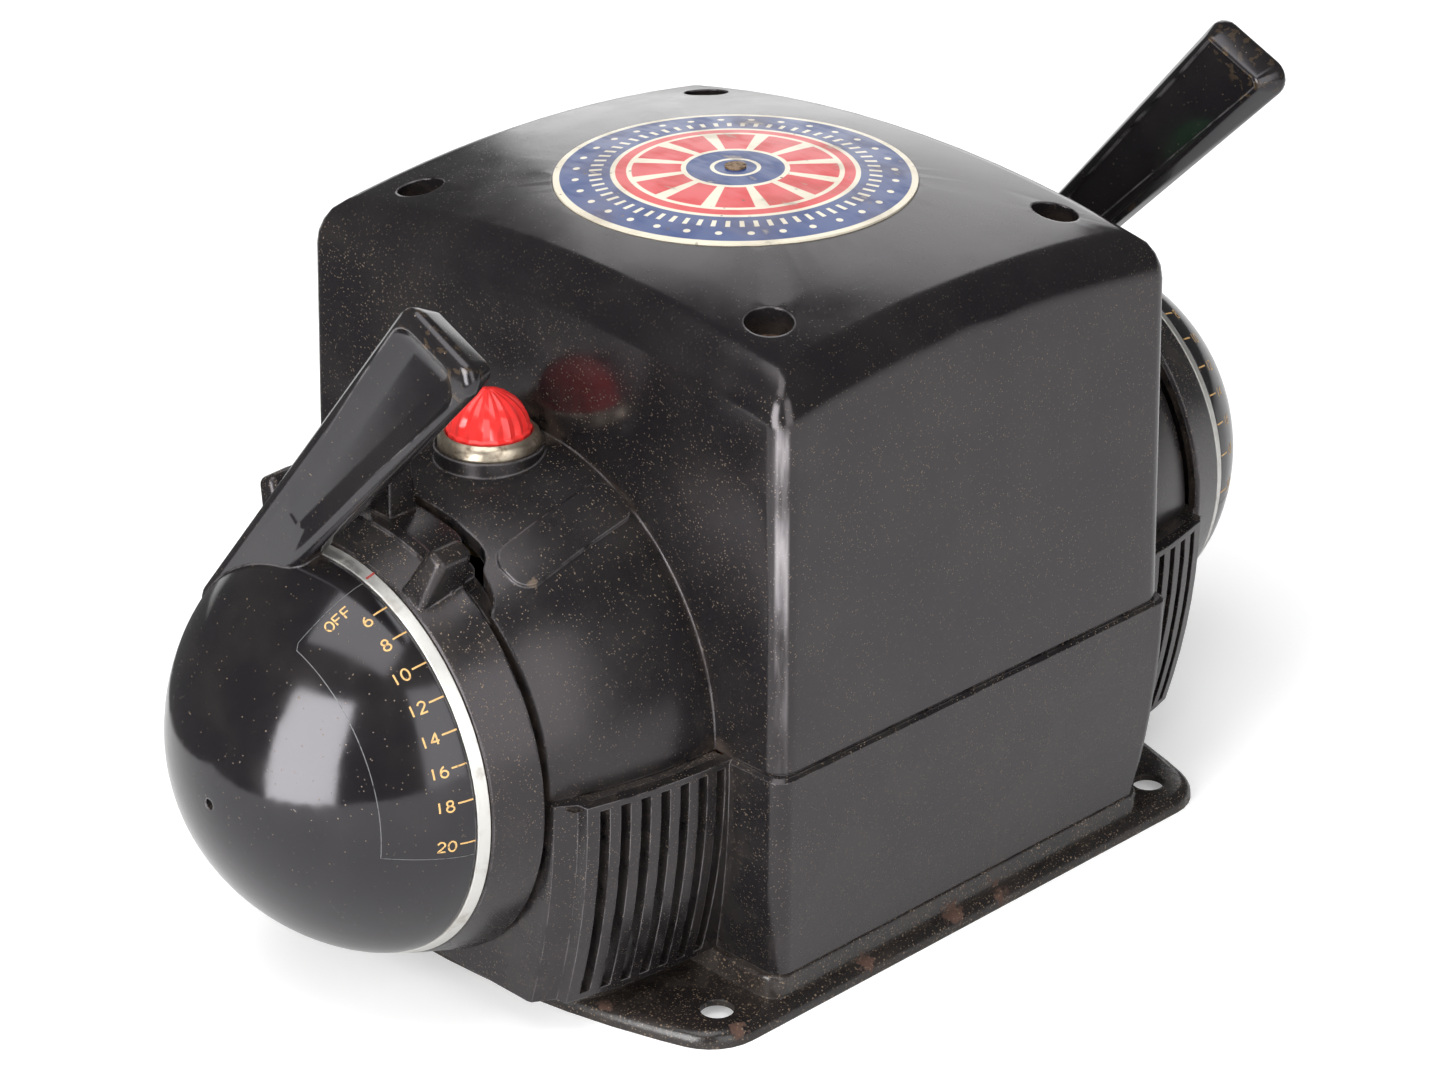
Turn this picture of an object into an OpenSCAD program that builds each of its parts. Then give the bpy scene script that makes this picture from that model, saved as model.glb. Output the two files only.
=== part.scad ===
// Train set controller: a mains transformer for toy trains with a throttle hub at each end.
// X runs along the hub axis, -Y is the front, Z is up. The origin is on the table, under the middle.

/* [Upper casing] */
// Length of the upper casing along the hub axis, at the split
casing_l = 132; // [126:1:140]
// Depth of the upper casing from front to back, at the split
casing_d = 161.8; // [154:0.2:170]
// Height of the hub axis, where the two casings meet
axis_z = 63.5; // [62:0.5:68]
// Height of the top of the crown
crown_z = 169.6; // [164:0.2:178]
// Radius of the crown's curve
crown_r = 375; // [320:5:500]
// Radius of the edge round the crown
crown_edge = 9; // [5:0.5:11]
// Radius of the upright corners
corner_r = 5; // [3:0.5:8]
// Taper of the upper walls, in mm for each mm of height
draft = 0.0155; // [0.004:0.0005:0.02]
// Thickness of the moulded walls
wall = 3.2; // [2.6:0.1:3.6]

/* [Lower casing] */
// How far the ledge of the lower casing stands out from the upper casing
ledge = 1.4; // [0.8:0.1:2.4]
// How much the lower casing draws in at its foot
foot_draw = 3.9; // [2:0.1:5]
// Distance from the middle to the end wall of a pedestal
pedestal_x = 110.4; // [109.6:0.1:110.8]
// Half width of a pedestal where it leaves the casing
pedestal_y = 66.3; // [62:0.1:70]
// How much a pedestal draws in at its foot
pedestal_draw = 8.3; // [4:0.1:10]
// Number of louvres in each pedestal side
louvres = 7; // [4:1:7]
// Distance between louvres
louvre_pitch = 5.2; // [5:0.1:5.4]
// Width of a louvre
louvre_w = 2.5; // [1.5:0.1:3]

/* [Drum] */
// Radius of a drum where it leaves the casing
drum_root_r = 60.2; // [59:0.1:61]
// Radius of a drum at its outer end
drum_end_r = 52; // [51.6:0.1:52.6]
// Distance from the middle to a drum's outer end
drum_x = 109.3; // [108.8:0.1:109.6]
// Distance from the end of the upper casing out to a lamp
lamp_out = 12.6; // [11:0.1:14]
// Height of the top of a lamp boss
lamp_z = 124.4; // [124:0.1:126]
// Radius of a lamp boss
boss_r = 12.8; // [12:0.1:14]

/* [Base plate] */
// How far the front and back of the base plate stand in from the ledge
base_in = 0.5; // [0:0.1:2]
// Length of the base plate
base_l = 203.2; // [196:0.2:210]
// Height of the flange
flange_z = 4; // [3:0.1:5]
// Height of the platform that carries the casing
platform_z = 9.8; // [9:0.1:11]
// Thickness of the steel
steel = 1.6; // [1.2:0.1:2]
// Distance from an end of the base plate to a mounting hole
hole_in_x = 25.5; // [20:0.5:28]
// Distance from the front or back of the base plate to a mounting hole
hole_in_y = 10.8; // [9:0.2:13]
// Diameter of a mounting hole
hole_d = 8; // [5:0.5:9]

/* [Throttle lever] */
// Radius of the dome at its rim
dome_r = 48.6; // [47:0.1:48.8]
// Length of the dome
dome_l = 35.6; // [33:0.1:38]
// Lean of the handle from upright when the throttle is off
handle_lean = 42.3; // [38:0.1:46]
// Distance along the handle to the top corner of its tip
handle_reach = 115; // [100:0.2:120]
// Thickness of the handle
handle_t = 8.6; // [8:0.1:10]
// Radius of the throttle shaft
shaft_r = 4; // [3.5:0.1:4.5]

/* [Controller] */
// Radius of the controller ring at its back edge
ring_r = 54; // [53.8:0.1:54.4]
// Depth of the controller ring along the hub axis
ring_depth = 12.6; // [12:0.1:13.4]
// Angle from the top to a thumb tab
tab_angle = 28; // [26:0.5:30]
// Height of a thumb tab above the ring
tab_h = 9.6; // [7:0.1:10]
// Angle that the controller rocks to each side
rock = 6; // [4:0.5:6]

/* [Nameplate and screws] */
// Diameter of the nameplate
plate_d = 85.7; // [80:0.1:88]
// Distance from an end wall of the upper casing to a casing screw
screw_in_x = 18.7; // [17.5:0.1:20]
// Distance from the front or back of the upper casing to a casing screw
screw_in_y = 22.8; // [21:0.1:24]
// Diameter of a screw well
well_d = 11.2; // [10:0.1:12]
// Depth of a screw well below the crown's edge curve
well_depth = 8; // [6:0.5:10]
// Radius of a casing screw
screw_r = 2.1; // [1.8:0.1:2.4]

/* [Transformer] */
// Thickness of the stack of laminations
stack = 44; // [36:1:46]
// Width of the core's middle leg
leg_w = 40; // [34:1:42]
// Width of a winding window
window_w = 22; // [18:0.5:24]
// Height of a winding window
window_h = 66; // [60:1:70]
// Width of the yokes and outer legs
yoke = 20; // [16:0.5:20]
// How far the winding stands out of the stack
winding_build = 17; // [14:0.5:17]
// Radius from the hub axis to the middle of a contact roller
roller_reach = 28; // [26:0.5:29]
// Number of binding posts
posts = 8; // [4:1:8]
// Distance from the end of the upper casing to the first terminal
post_in = 17; // [16:0.5:30]
// Height of the binding posts
post_z = 84; // [80:0.5:90]

/* [Hidden] */

$fn = 72;
past = 1;             // how far a cutter runs past a face
rest_gap = 0.3;       // gap between bodies that move past each other
run_fit = 0.05;       // radial clearance of a running fit
seat_fit = 0.1;       // radial clearance of a screw or a seated piece
black = "#1b1b1d";
steel_grey = "#8d9196";
brass = "#b79a55";

// Sizes that follow from the casing's
lamp_x = casing_l / 2 + lamp_out;
post_pitch = (casing_l - 2 * post_in) / (posts - 1);
lower_l = casing_l + 2 * ledge;
lower_d = casing_d + 2 * ledge;
base_d = lower_d - 2 * base_in;
hole_x = base_l - 2 * hole_in_x;
hole_y = base_d - 2 * hole_in_y;
screw_x = casing_l - 2 * screw_in_x;
screw_y = casing_d - 2 * screw_in_y;
far = base_l;         // reach of a cutter that takes all of one side

// Where things stand along the hub axis, counted outwards from the middle
drum_x0 = casing_l / 2 - 1;
end_wall = drum_x - wall - 0.3;
ring_x0 = drum_x + 2.4;
ring_x1 = ring_x0 + ring_depth;
index_x0 = ring_x1 + rest_gap;
index_x1 = index_x0 + 2.8;
index_disc = 1.6;
dome_x0 = index_x1 + rest_gap;
dome_x1 = dome_x0 + dome_l;
handle_x0 = dome_x0 - 2.3;
handle_x1 = handle_x0 + handle_t;
index_r = ring_r - 4;
bush_r = 8;
journal_r = shaft_r + 3;
neck_r = shaft_r + 1;
ring_t = 3;
web_x0 = ring_x0 + 3.8;
web_x1 = web_x0 + 2.5;
tongue_x = drum_x - 6.6;
tongue_t = 2.5;
window_x = tongue_x - 1.6;

// The core and its contacts
core_z0 = platform_z + 2;
window_z0 = core_z0 + yoke;
core_top = window_z0 + window_h + yoke;
core_y = leg_w / 2 + window_w + yoke;
winding_x = stack / 2 + winding_build;
winding_y = leg_w / 2 + window_w - 1.5;
flange_t = 1.6;
face_t = 0.8;
roller_r = 4;
roller_x = winding_x + face_t + rest_gap + roller_r;
arm_x = roller_x + roller_r + 0.5;
arm_t = 1.8;
collar_l = 5.4;
arm_rest = 130;
throttle_turn = 80;
bracket_x = arm_x + collar_l + rest_gap + 1.2;
bracket_w = 48;
bolt_r = 2.5;
bolt_in = 8;

// ---------- outlines and lofts ----------

// A quarter outline, flat or not, becomes a whole one, mirrored in both axes.
function flip(p, x, y) = len(p) > 2 ? [x * p[0], y * p[1], p[2]] : [x * p[0], y * p[1]];
function whole(q) = let (n = len(q) - 1) concat(q,
    [for (i = [n:-1:0]) flip(q[i], -1, 1)],
    [for (i = [0:n]) flip(q[i], -1, -1)],
    [for (i = [n:-1:0]) flip(q[i], 1, -1)]);

// The first quarter of a rounded rectangle, from the X axis round to the Y axis.
function quarter(hx, hy, r, n, m) = concat(
    [for (i = [0:n - 1]) [hx, (i + 0.5) / n * (hy - r)]],
    [for (i = [0:m]) let (a = 90 * i / m) [hx - r + r * cos(a), hy - r + r * sin(a)]],
    [for (i = [n - 1:-1:0]) [(i + 0.5) / n * (hx - r), hy]]);

function at_height(ring, z) = [for (p = ring) [p[0], p[1], z]];
function middle(ring) = [for (k = [0:2]) sum([for (p = ring) p[k]]) / len(ring)];
function sum(v, i = 0) = i < len(v) ? v[i] + sum(v, i + 1) : 0;

// A closed skin through rings of points, each ring counted anticlockwise from above.
module loft(rings) {
    n = len(rings[0]);
    m = len(rings);
    points = concat([for (r = rings) each r], [middle(rings[0]), middle(rings[m - 1])]);
    sides = [for (k = [0:m - 2]) for (i = [0:n - 1]) let (j = (i + 1) % n)
        each [[k * n + i, (k + 1) * n + i, (k + 1) * n + j], [k * n + i, (k + 1) * n + j, k * n + j]]];
    foot = [for (i = [0:n - 1]) [m * n, i, (i + 1) % n]];
    top = [for (i = [0:n - 1]) [m * n + 1, (m - 1) * n + (i + 1) % n, (m - 1) * n + i]];
    polyhedron(points, concat(sides, foot, top), convexity = 6);
}

// A flat rounded rectangle with true arcs at its corners.
module slab(w, d, r) {
    square([w - 2 * r, d], center = true);
    square([w, d - 2 * r], center = true);
    for (x = [-1, 1]) for (y = [-1, 1]) translate([x * (w / 2 - r), y * (d / 2 - r)]) circle(r = r);
}

// ---------- placing ----------

module hub(side) mirror([side < 0 ? 1 : 0, 0, 0]) children();
module on_axis() translate([0, 0, axis_z]) rotate([0, 90, 0]) children();
module turned(angle) translate([0, 0, axis_z]) rotate([angle, 0, 0]) children();
module both_hubs() for (side = [-1, 1]) hub(side) children();
module at_screws() for (x = [-1, 1]) for (y = [-1, 1]) translate([x * screw_x / 2, y * screw_y / 2]) children();
module at_posts() for (i = [0:posts - 1])
    translate([(i - (posts - 1) / 2) * post_pitch, 0, post_z]) rotate([-90, 0, 0]) children();

// A cylinder along the hub axis, from x0 to x1.
module rod(r, x0, x1) on_axis() translate([0, 0, x0]) cylinder(r = r, h = x1 - x0);

// ---------- casing shapes ----------

function crown(x, y) = crown_z - crown_r + sqrt(crown_r * crown_r - x * x - y * y);

function crown_quarter(inset, drop, n, m) = let (hx = casing_l / 2 - inset, hy = casing_d / 2 - inset,
    r = max(corner_r - inset, 1.2), high = draft * (crown_z - axis_z),
    near = quarter(hx - high, hy - high, r, n, m)) [for (i = [0:len(near) - 1])
        let (z = crown(near[i][0], near[i][1]) - drop, s = draft * (z - axis_z),
            p = quarter(hx - s, hy - s, r, n, m)[i]) [p[0], p[1], crown(p[0], p[1]) - drop]];

// The crown drawn in towards its middle, as a share of its size.
function drawn_in(q, share, drop) = [for (p = q) let (x = p[0] * share, y = p[1] * share)
    [x, y, crown(x, y) - drop]];

// The upper casing's form, inset all round by a wall thickness or by nothing.
module upper_form(inset, edge, steps, n, m) {
    foot = at_height(whole(quarter(casing_l / 2 - inset, casing_d / 2 - inset,
        max(corner_r - inset, 1.2), n, m)), axis_z - (inset > 0 ? past : 0));
    rim = crown_quarter(inset + edge, inset, n, m);
    loft(concat([foot],
        [for (i = [0:steps]) let (a = 90 * i / steps)
            whole(crown_quarter(inset + edge * (1 - cos(a)), inset + edge * (1 - sin(a)), n, m))],
        [for (share = [0.78, 0.52, 0.26]) whole(drawn_in(rim, share, inset))]));
}

// Half sizes of the lower casing draw in along an arc below the split.
function draw_in(z, depth) = depth * pow((axis_z - z) / (axis_z - platform_z), 2);
function lower_ring(inset, z, trim, n, m) = let (d = draw_in(min(z, axis_z), foot_draw) + inset + trim)
    at_height(whole(quarter(lower_l / 2 - d, lower_d / 2 - d, max(corner_r - 1 - inset, 1), n, m)), z);

module lower_form(inset, z0, z1, n, m) {
    levels = 7;
    round = inset > 0 ? 0 : 0.8;
    loft(concat([for (i = [0:levels]) lower_ring(inset, z0 + (z1 - round - z0) * i / levels, 0, n, m)],
        [lower_ring(inset, z1, round, n, m)]));
}

// Plan of a pedestal at one height: a bowed louvre panel, a small step and the end wall.
shoulder = 13;        // how far the end wall's edges stand in from the panels
panel_bow = 0.00324;
function panel_y(x) = pedestal_y - panel_bow * pow(x - casing_l / 2 + 4, 2);
function pedestal_side(inset, z) = let (d = draw_in(min(z, axis_z), pedestal_draw) + inset,
    end = pedestal_x + 0.6 * (axis_z - min(z, axis_z)) / (axis_z - platform_z) - inset,
    panel_end = pedestal_x - 5)
    concat([for (i = [0:8]) let (x = casing_l / 2 - 8 + (panel_end - casing_l / 2 + 8) * i / 8 - inset * i / 8)
            [x, -panel_y(max(x, casing_l / 2)) + d]],
        [[panel_end + 0.3 - inset, -panel_y(panel_end) + 2.8 + d],
         [end - 1.2, -pedestal_y + shoulder - 1.6 + d],
         [end - 0.35, -pedestal_y + shoulder - 1.1 + d],
         [end, -pedestal_y + shoulder + d]]);
function pedestal_ring(inset, z) = let (s = pedestal_side(inset, z), n = len(s) - 1)
    at_height(concat(s, [for (i = [n:-1:0]) [s[i][0], -s[i][1]]]), z);

module pedestal_form(inset, z0, z1) {
    levels = 7;
    loft([for (i = [0:levels]) pedestal_ring(inset, z0 + (z1 - z0) * i / levels)]);
}

// A drum's outline is an arc from its root to its end.
drum_run = drum_x - casing_l / 2;
drum_drop = drum_root_r - drum_end_r;
drum_arc = (drum_run * drum_run + drum_drop * drum_drop) / (2 * drum_drop);
function drum_r(x) = drum_root_r - drum_arc + sqrt(drum_arc * drum_arc - pow(max(x - casing_l / 2, 0), 2));

module barrel(grow, x0, x1, lip) {
    steps = 14;
    on_axis() rotate_extrude() polygon(concat([[0, x0]],
        [for (i = [0:steps]) let (x = x0 + (x1 - lip - x0) * i / steps) [drum_r(x) + grow, x]],
        [for (a = [30:30:90]) [drum_r(x1 - lip) + grow - lip * (1 - cos(a)), x1 - lip + lip * sin(a)]],
        [[0, x1]]));
}

module above_split() translate([-far, -far, axis_z]) cube([2 * far, 2 * far, far]);

// A raised caption plaque, left bare, square to the drum beside the lamp.
plaque_l = 36;
plaque_w = 11.8;
plaque_angle = 31.3;
plaque_skew = 8.4;
plaque_h = 0.8;
module plaque() intersection() {
    barrel(plaque_h, casing_l / 2 - 5, drum_x, 0);
    turned(plaque_angle) translate([lamp_x + 4.9, 0, 0]) rotate([0, 0, -plaque_skew])
        linear_extrude(drum_root_r + 5) slab(plaque_l, plaque_w, 4.5);
}

// Plan of the opening in the drum's end for the controller's tongue. The tongue has the same plan,
// less the room that it needs to rock.
mouth_w = 34.5;       // half width at the drum's end
rock_room = ring_r * sin(rock) + rest_gap;
function window_plan(end, room, mouth) = let (w = mouth_w - room, h = [
    [mouth, w], [drum_x - 1.5, w - 1.3], [drum_x - 3, w - 2.9], [end + 3.5, w - 7.9],
    [end + 1.4, w - 9.3], [end + 0.4, w - 10.9], [end, w - 13.1]])
    concat(h, [for (i = [len(h) - 1:-1:0]) [h[i][0], -h[i][1]]]);

// The opening is cut straight down to the tongue's bed.
module tongue_window() difference() {
    translate([0, 0, axis_z]) linear_extrude(far) polygon(window_plan(window_x, 0, drum_x + past));
    rod(ring_r - tongue_t - 1.1, 0, drum_x + 2 * past);
}

// ---------- casings and base ----------

tube_z = 106;
bezel_neck_r = 8;
well_z = crown(screw_x / 2, screw_y / 2) - well_depth;
post_r = well_d / 2 + 2;

module lamp_boss() translate([lamp_x, 0, axis_z + 20]) cylinder(r = boss_r, h = lamp_z - axis_z - 20);

module upper_casing() color(black) difference() {
    union() {
        upper_form(0, crown_edge, 5, 6, 5);
        both_hubs() {
            intersection() {
                barrel(0, drum_x0 - 6, drum_x, 1.4);
                above_split();
            }
            lamp_boss();
            plaque();
            mirror([0, 1, 0]) plaque();
        }
    }
    difference() {
        union() {
            upper_form(wall, crown_edge - wall, 2, 3, 2);
            both_hubs() barrel(-wall, 0, end_wall, 0);
        }
        at_screws() translate([0, 0, axis_z]) cylinder(r = post_r, h = crown_z - axis_z);
        both_hubs() translate([lamp_x, 0, tube_z]) cylinder(r = boss_r, h = lamp_z - tube_z);
    }
    both_hubs() {
        tongue_window();
        translate([lamp_x, 0, tube_z - past]) cylinder(r = bezel_neck_r, h = lamp_z);
        rod(bush_r + seat_fit, end_wall - past, drum_x + past);
    }
    at_screws() {
        translate([0, 0, well_z]) cylinder(d = well_d, h = crown_z);
        translate([0, 0, axis_z - past]) cylinder(r = screw_r + seat_fit * 3, h = crown_z);
    }
    nameplate_form(plate_d / 2 + seat_fit, 0, 10);
    translate([0, 0, crown_z - wall * 2]) cylinder(r = rivet_r + seat_fit, h = wall * 3);
    at_posts() cylinder(r = stud_r + 0.4, h = casing_d);
}

grommet_x = 18;
grommet_z = 27;
grommet_r = 6;
pad_y = lower_d / 2 - 0.4;
louvre_in = 9.3;      // from the pedestal's end wall to the middle of the first louvre

module at_grommet(y) translate([grommet_x, y, grommet_z]) rotate([90, 0, 0]) children();

module lower_casing() color(black) difference() {
    union() {
        lower_form(0, platform_z, axis_z, 2, 4);
        both_hubs() pedestal_form(0, platform_z, axis_z);
        at_grommet(pad_y) cylinder(r = grommet_r + 4, h = 8);
    }
    difference() {
        union() {
            lower_form(wall, platform_z - past, axis_z + past, 1, 2);
            both_hubs() pedestal_form(wall, platform_z - past, axis_z + past);
        }
        at_screws() translate([0, 0, platform_z]) cylinder(r = post_r, h = axis_z - platform_z);
        for (x = [-1, 1]) for (y = [-1, 1]) translate([x * screw_x / 2 - wall / 2,
            y > 0 ? screw_y / 2 : -lower_d / 2, platform_z])
            cube([wall, (lower_d - screw_y) / 2, axis_z - platform_z]);
        at_grommet(pad_y) cylinder(r = grommet_r + 4, h = 6);
    }
    both_hubs() {
        for (i = [0:louvres - 1])
            translate([pedestal_x - louvre_in - i * louvre_pitch - louvre_w / 2, -lower_d / 2, platform_z + 1.8])
                cube([louvre_w, lower_d, axis_z - platform_z - 3.3]);
        rod(bush_r + seat_fit, casing_l / 2, pedestal_x + 5);
    }
    at_screws() translate([0, 0, platform_z - past]) cylinder(r = screw_r + seat_fit * 3, h = axis_z);
    at_grommet(pad_y + past) cylinder(r = grommet_r, h = 12);
}

// The flange's outline: straight front and back, bowed ends, and a corner arc tangent to both.
flange_corner = 14;
bow_r = 205;
function flange_quarter(inset) = let (cy = base_d / 2 - flange_corner, span = bow_r - flange_corner,
    cx = base_l / 2 - bow_r + sqrt(span * span - cy * cy), meet = asin(cy / span))
    concat([for (i = [0:5]) let (a = meet * (i + 0.5) / 6)
            [base_l / 2 - bow_r + (bow_r - inset) * cos(a), (bow_r - inset) * sin(a)]],
        [for (i = [0:6]) let (a = meet + (90 - meet) * i / 6)
            [cx + (flange_corner - inset) * cos(a), cy + (flange_corner - inset) * sin(a)]],
        [[cx / 2, base_d / 2 - inset]]);

module flange_form(inset, top, roll, z0) loft(concat([at_height(whole(flange_quarter(inset)), z0)],
    [for (i = [0:4]) let (a = 22.5 * i)
        at_height(whole(flange_quarter(inset + roll * (1 - cos(a)))), top - roll + roll * sin(a))]));

platform_x = lower_l / 2 - foot_draw + 1.8;
platform_y = lower_d / 2 - foot_draw + 0.4;
pad_half = pedestal_y - shoulder - pedestal_draw + 4;
module platform_form(inset, top, z0) {
    loft([for (s = [[0, z0], [0, top - 1.2], [0.4, top - 0.35], [1.2, top]])
        at_height(whole(quarter(platform_x - inset - s[0], platform_y - inset - s[0], 5, 1, 3)), s[1])]);
    loft([for (s = [[0, z0], [0, top - 1.2], [0.4, top - 0.35], [1.2, top]])
        at_height(whole(quarter(base_l / 2 - 5 - inset - s[0], pad_half - inset - s[0], 8, 1, 3)), s[1])]);
}

module base_plate() color("#202022") difference() {
    union() {
        flange_form(0, flange_z, 3, 0);
        platform_form(0, platform_z, 1);
    }
    flange_form(steel, flange_z - steel, 1.6, -past);
    platform_form(steel, platform_z - steel, -past);
    for (x = [-1, 1]) for (y = [-1, 1]) translate([x * hole_x / 2, y * hole_y / 2, -past])
        cylinder(d = hole_d, h = flange_z + 2 * past);
    at_screws() cylinder(r = screw_r + seat_fit, h = platform_z + past);
    at_frame_screws() cylinder(r = frame_screw_r + seat_fit, h = platform_z + past);
}

// ---------- fasteners and nameplate ----------

head_h = 3;
module casing_screws() color("#6b4a34") at_screws() difference() {
    union() {
        translate([0, 0, well_z]) cylinder(r = screw_r * 2.1, h = head_h);
        translate([0, 0, flange_z + 0.4]) cylinder(r = screw_r, h = well_z - flange_z);
    }
    translate([-6, -0.6, well_z + head_h - 1.1]) cube([12, 1.2, 2]);
}

nut_w = screw_r * 3.4;
nut_h = 2.8;
module screw_nuts() color(steel_grey) at_screws() difference() {
    translate([-nut_w / 2, -nut_w / 2, platform_z - steel - nut_h]) cube([nut_w, nut_w, nut_h]);
    cylinder(r = screw_r + seat_fit / 2, h = platform_z);
}

plate_t = 0.65;
plate_sunk = 0.3;
rivet_r = 1.5;
// A dished disc that follows the crown, or the seat for it when it is made tall.
module nameplate_form(r, from, to) intersection() {
    translate([0, 0, crown_z - 8]) cylinder(r = r, h = 20);
    translate([0, 0, crown_z - crown_r]) difference() {
        sphere(r = crown_r - plate_sunk + to, $fn = 300);
        sphere(r = crown_r - plate_sunk + from, $fn = 300);
    }
}
module nameplate() color("#27407c") difference() {
    nameplate_form(plate_d / 2, 0.04, plate_t);
    translate([0, 0, crown_z - 6]) cylinder(r = rivet_r + seat_fit, h = 12);
}
module nameplate_rivet() color("#8a6a4a") {
    translate([0, 0, crown_z - wall * 1.6]) cylinder(r = rivet_r, h = wall * 1.6 + plate_t);
    translate([0, 0, crown_z - plate_sunk + plate_t]) cylinder(r = rivet_r * 1.7, h = 0.5);
}

// ---------- transformer ----------

module laminated_core() color("#5a5c60") difference() {
    translate([-stack / 2, -core_y, core_z0]) cube([stack, 2 * core_y, core_top - core_z0]);
    for (y = [-1, 1]) translate([-stack / 2 - past, y * (leg_w + window_w) / 2 - window_w / 2, window_z0])
        cube([stack + 2 * past, window_w, window_h]);
    at_core_bolts() cylinder(r = bolt_r + seat_fit, h = stack + 2 * past, center = true);
}

module at_core_bolts() for (y = [-1, 1]) for (z = [core_z0 + bolt_in, core_top - bolt_in])
    translate([0, y * (core_y - bolt_in), z]) rotate([0, 90, 0]) children();

bobbin_t = 1.5;
module bobbin_slab(grow) slab(stack + 2 * grow, leg_w + 2 * grow, 1 + grow);
module leg_bore() square([stack + 0.4, leg_w + 0.4], center = true);
module coil_bobbin() color("#7a4b2a") difference() {
    union() {
        translate([0, 0, window_z0 + rest_gap]) linear_extrude(window_h - 2 * rest_gap) bobbin_slab(bobbin_t + 0.2);
        for (z = [window_z0 + rest_gap, window_z0 + window_h - rest_gap - flange_t]) translate([0, 0, z])
            linear_extrude(flange_t) slab(2 * winding_x - 1, 2 * winding_y + 1, 5);
    }
    translate([0, 0, window_z0 - past]) linear_extrude(window_h + 2 * past) leg_bore();
}

winding_z0 = window_z0 + rest_gap + flange_t + seat_fit;
winding_h = window_h - 2 * (rest_gap + flange_t + seat_fit);
module coil_winding() color("#8c5a2c") difference() {
    translate([0, 0, winding_z0]) linear_extrude(winding_h) slab(2 * winding_x, 2 * winding_y, 7);
    translate([0, 0, winding_z0 - past]) linear_extrude(winding_h + 2 * past) bobbin_slab(bobbin_t + 0.3);
}

// The bared turns that a contact roller runs over: a band of arc on each end of the winding.
face_in = roller_reach - 5;
face_out = roller_reach + 5;
module commutator_faces() color("#b87333") both_hubs() intersection() {
    difference() {
        rod(face_out, winding_x, winding_x + face_t);
        rod(face_in, winding_x - past, winding_x + face_t + past);
    }
    turned(arm_rest + 7) mirror([0, 1, 0]) quarter_wedge(throttle_turn + 14);
}

// A sector from straight up round to an angle, wide enough for anything on the axis.
module quarter_wedge(angle) rotate([90, 0, 90])
    linear_extrude(far) polygon([[0, 0], [0, far], [far * tan(angle / 2), far],
        [far * sin(angle), far * cos(angle)]]);

frame_t = 2.5;
frame_h = 18;
frame_foot = 13;
module core_frames() color(steel_grey) both_hubs() difference() {
    union() {
        translate([stack / 2, -core_y + 2, platform_z]) cube([frame_t, 2 * core_y - 4, frame_h + 2]);
        translate([stack / 2, -core_y + 2, platform_z]) cube([frame_foot, 2 * core_y - 4, 2]);
        translate([stack / 2, -core_y + 2, core_top - frame_h]) cube([frame_t, 2 * core_y - 4, frame_h]);
    }
    at_core_bolts() cylinder(r = bolt_r + seat_fit, h = 4 * stack, center = true);
    at_frame_screws() cylinder(r = frame_screw_r + seat_fit, h = 20);
}

module core_bolts() color(brass) at_core_bolts() {
    cylinder(r = bolt_r, h = stack + 2 * frame_t + 1, center = true);
    for (m = [0, 1]) mirror([0, 0, m]) translate([0, 0, stack / 2 + frame_t]) cylinder(r = 5, h = 3.6, $fn = 6);
}

frame_screw_r = 2;
foot_x = stack / 2 + 9;
bracket_foot = 12;
module at_frame_screws() both_hubs() for (y = [-1, 1]) {
    translate([foot_x, y * 40, 0]) children();
    translate([bracket_x - bracket_foot / 2, y * 16, 0]) children();
}
module frame_screws() color(steel_grey) at_frame_screws() {
    translate([0, 0, flange_z + 1]) cylinder(r = frame_screw_r, h = platform_z + 2 - flange_z - 0.5);
    translate([0, 0, platform_z + 2]) cylinder(r = 3.6, h = 2.2);
}

module rectifier_disc() color("#a2563a") translate([0, 34, core_top]) {
    cylinder(r = 4, h = 10);
    translate([0, 0, 3]) cylinder(r = 16, h = 2.4);
    translate([0, 0, 6.4]) cylinder(r = 7, h = 3.6, $fn = 6);
}

module circuit_breaker() color("#6a5138") translate([0, -34, core_top]) {
    translate([-20, -9, 0]) cube([40, 18, 2.4]);
    for (x = [-15, 15]) translate([x, 0, 2]) cylinder(r = 2.6, h = 8);
    translate([-18, -4, 9]) cube([34, 8, 0.8]);
    translate([13, -4, 11]) cube([5, 8, 0.8]);
    translate([15, 0, 9]) cylinder(r = 1.6, h = 5);
}

stud_r = 2;
board_h = 22;
board_t = 2.4;
board_y = casing_d / 2 - draft * (post_z + board_h / 2 - axis_z) - wall - 0.05;
post_y = casing_d / 2 - draft * (post_z - 5 - axis_z) + 0.05;
nut_l = 8;
board_w = (posts - 1) * post_pitch + 18;
module terminal_board() color("#5b3a22") difference() {
    translate([-board_w / 2, board_y - board_t, post_z - board_h / 2]) cube([board_w, board_t, board_h]);
    at_posts() cylinder(r = stud_r + seat_fit, h = casing_d);
}
module binding_posts() color(brass) at_posts() {
    translate([0, 0, board_y - board_t - 5]) cylinder(r = stud_r, h = post_y + nut_l + 3 - board_y + board_t + 5);
    translate([0, 0, board_y - board_t - 3]) cylinder(r = 4.4, h = 3, $fn = 6);
}
// Thumb nuts, fluted round the rim, with a plain collar towards the casing.
flutes = 14;
module thumb_nuts() color("#c9ccd0") at_posts() difference() {
    union() {
        translate([0, 0, post_y]) cylinder(r = 3.6, h = 2.2);
        translate([0, 0, post_y + 2]) linear_extrude(nut_l - 2) polygon([for (i = [0:2 * flutes - 1])
            let (a = 180 * i / flutes, r = i % 2 == 0 ? 5.2 : 4.6) [r * cos(a), r * sin(a)]]);
    }
    cylinder(r = stud_r + run_fit, h = casing_d);
}

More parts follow.
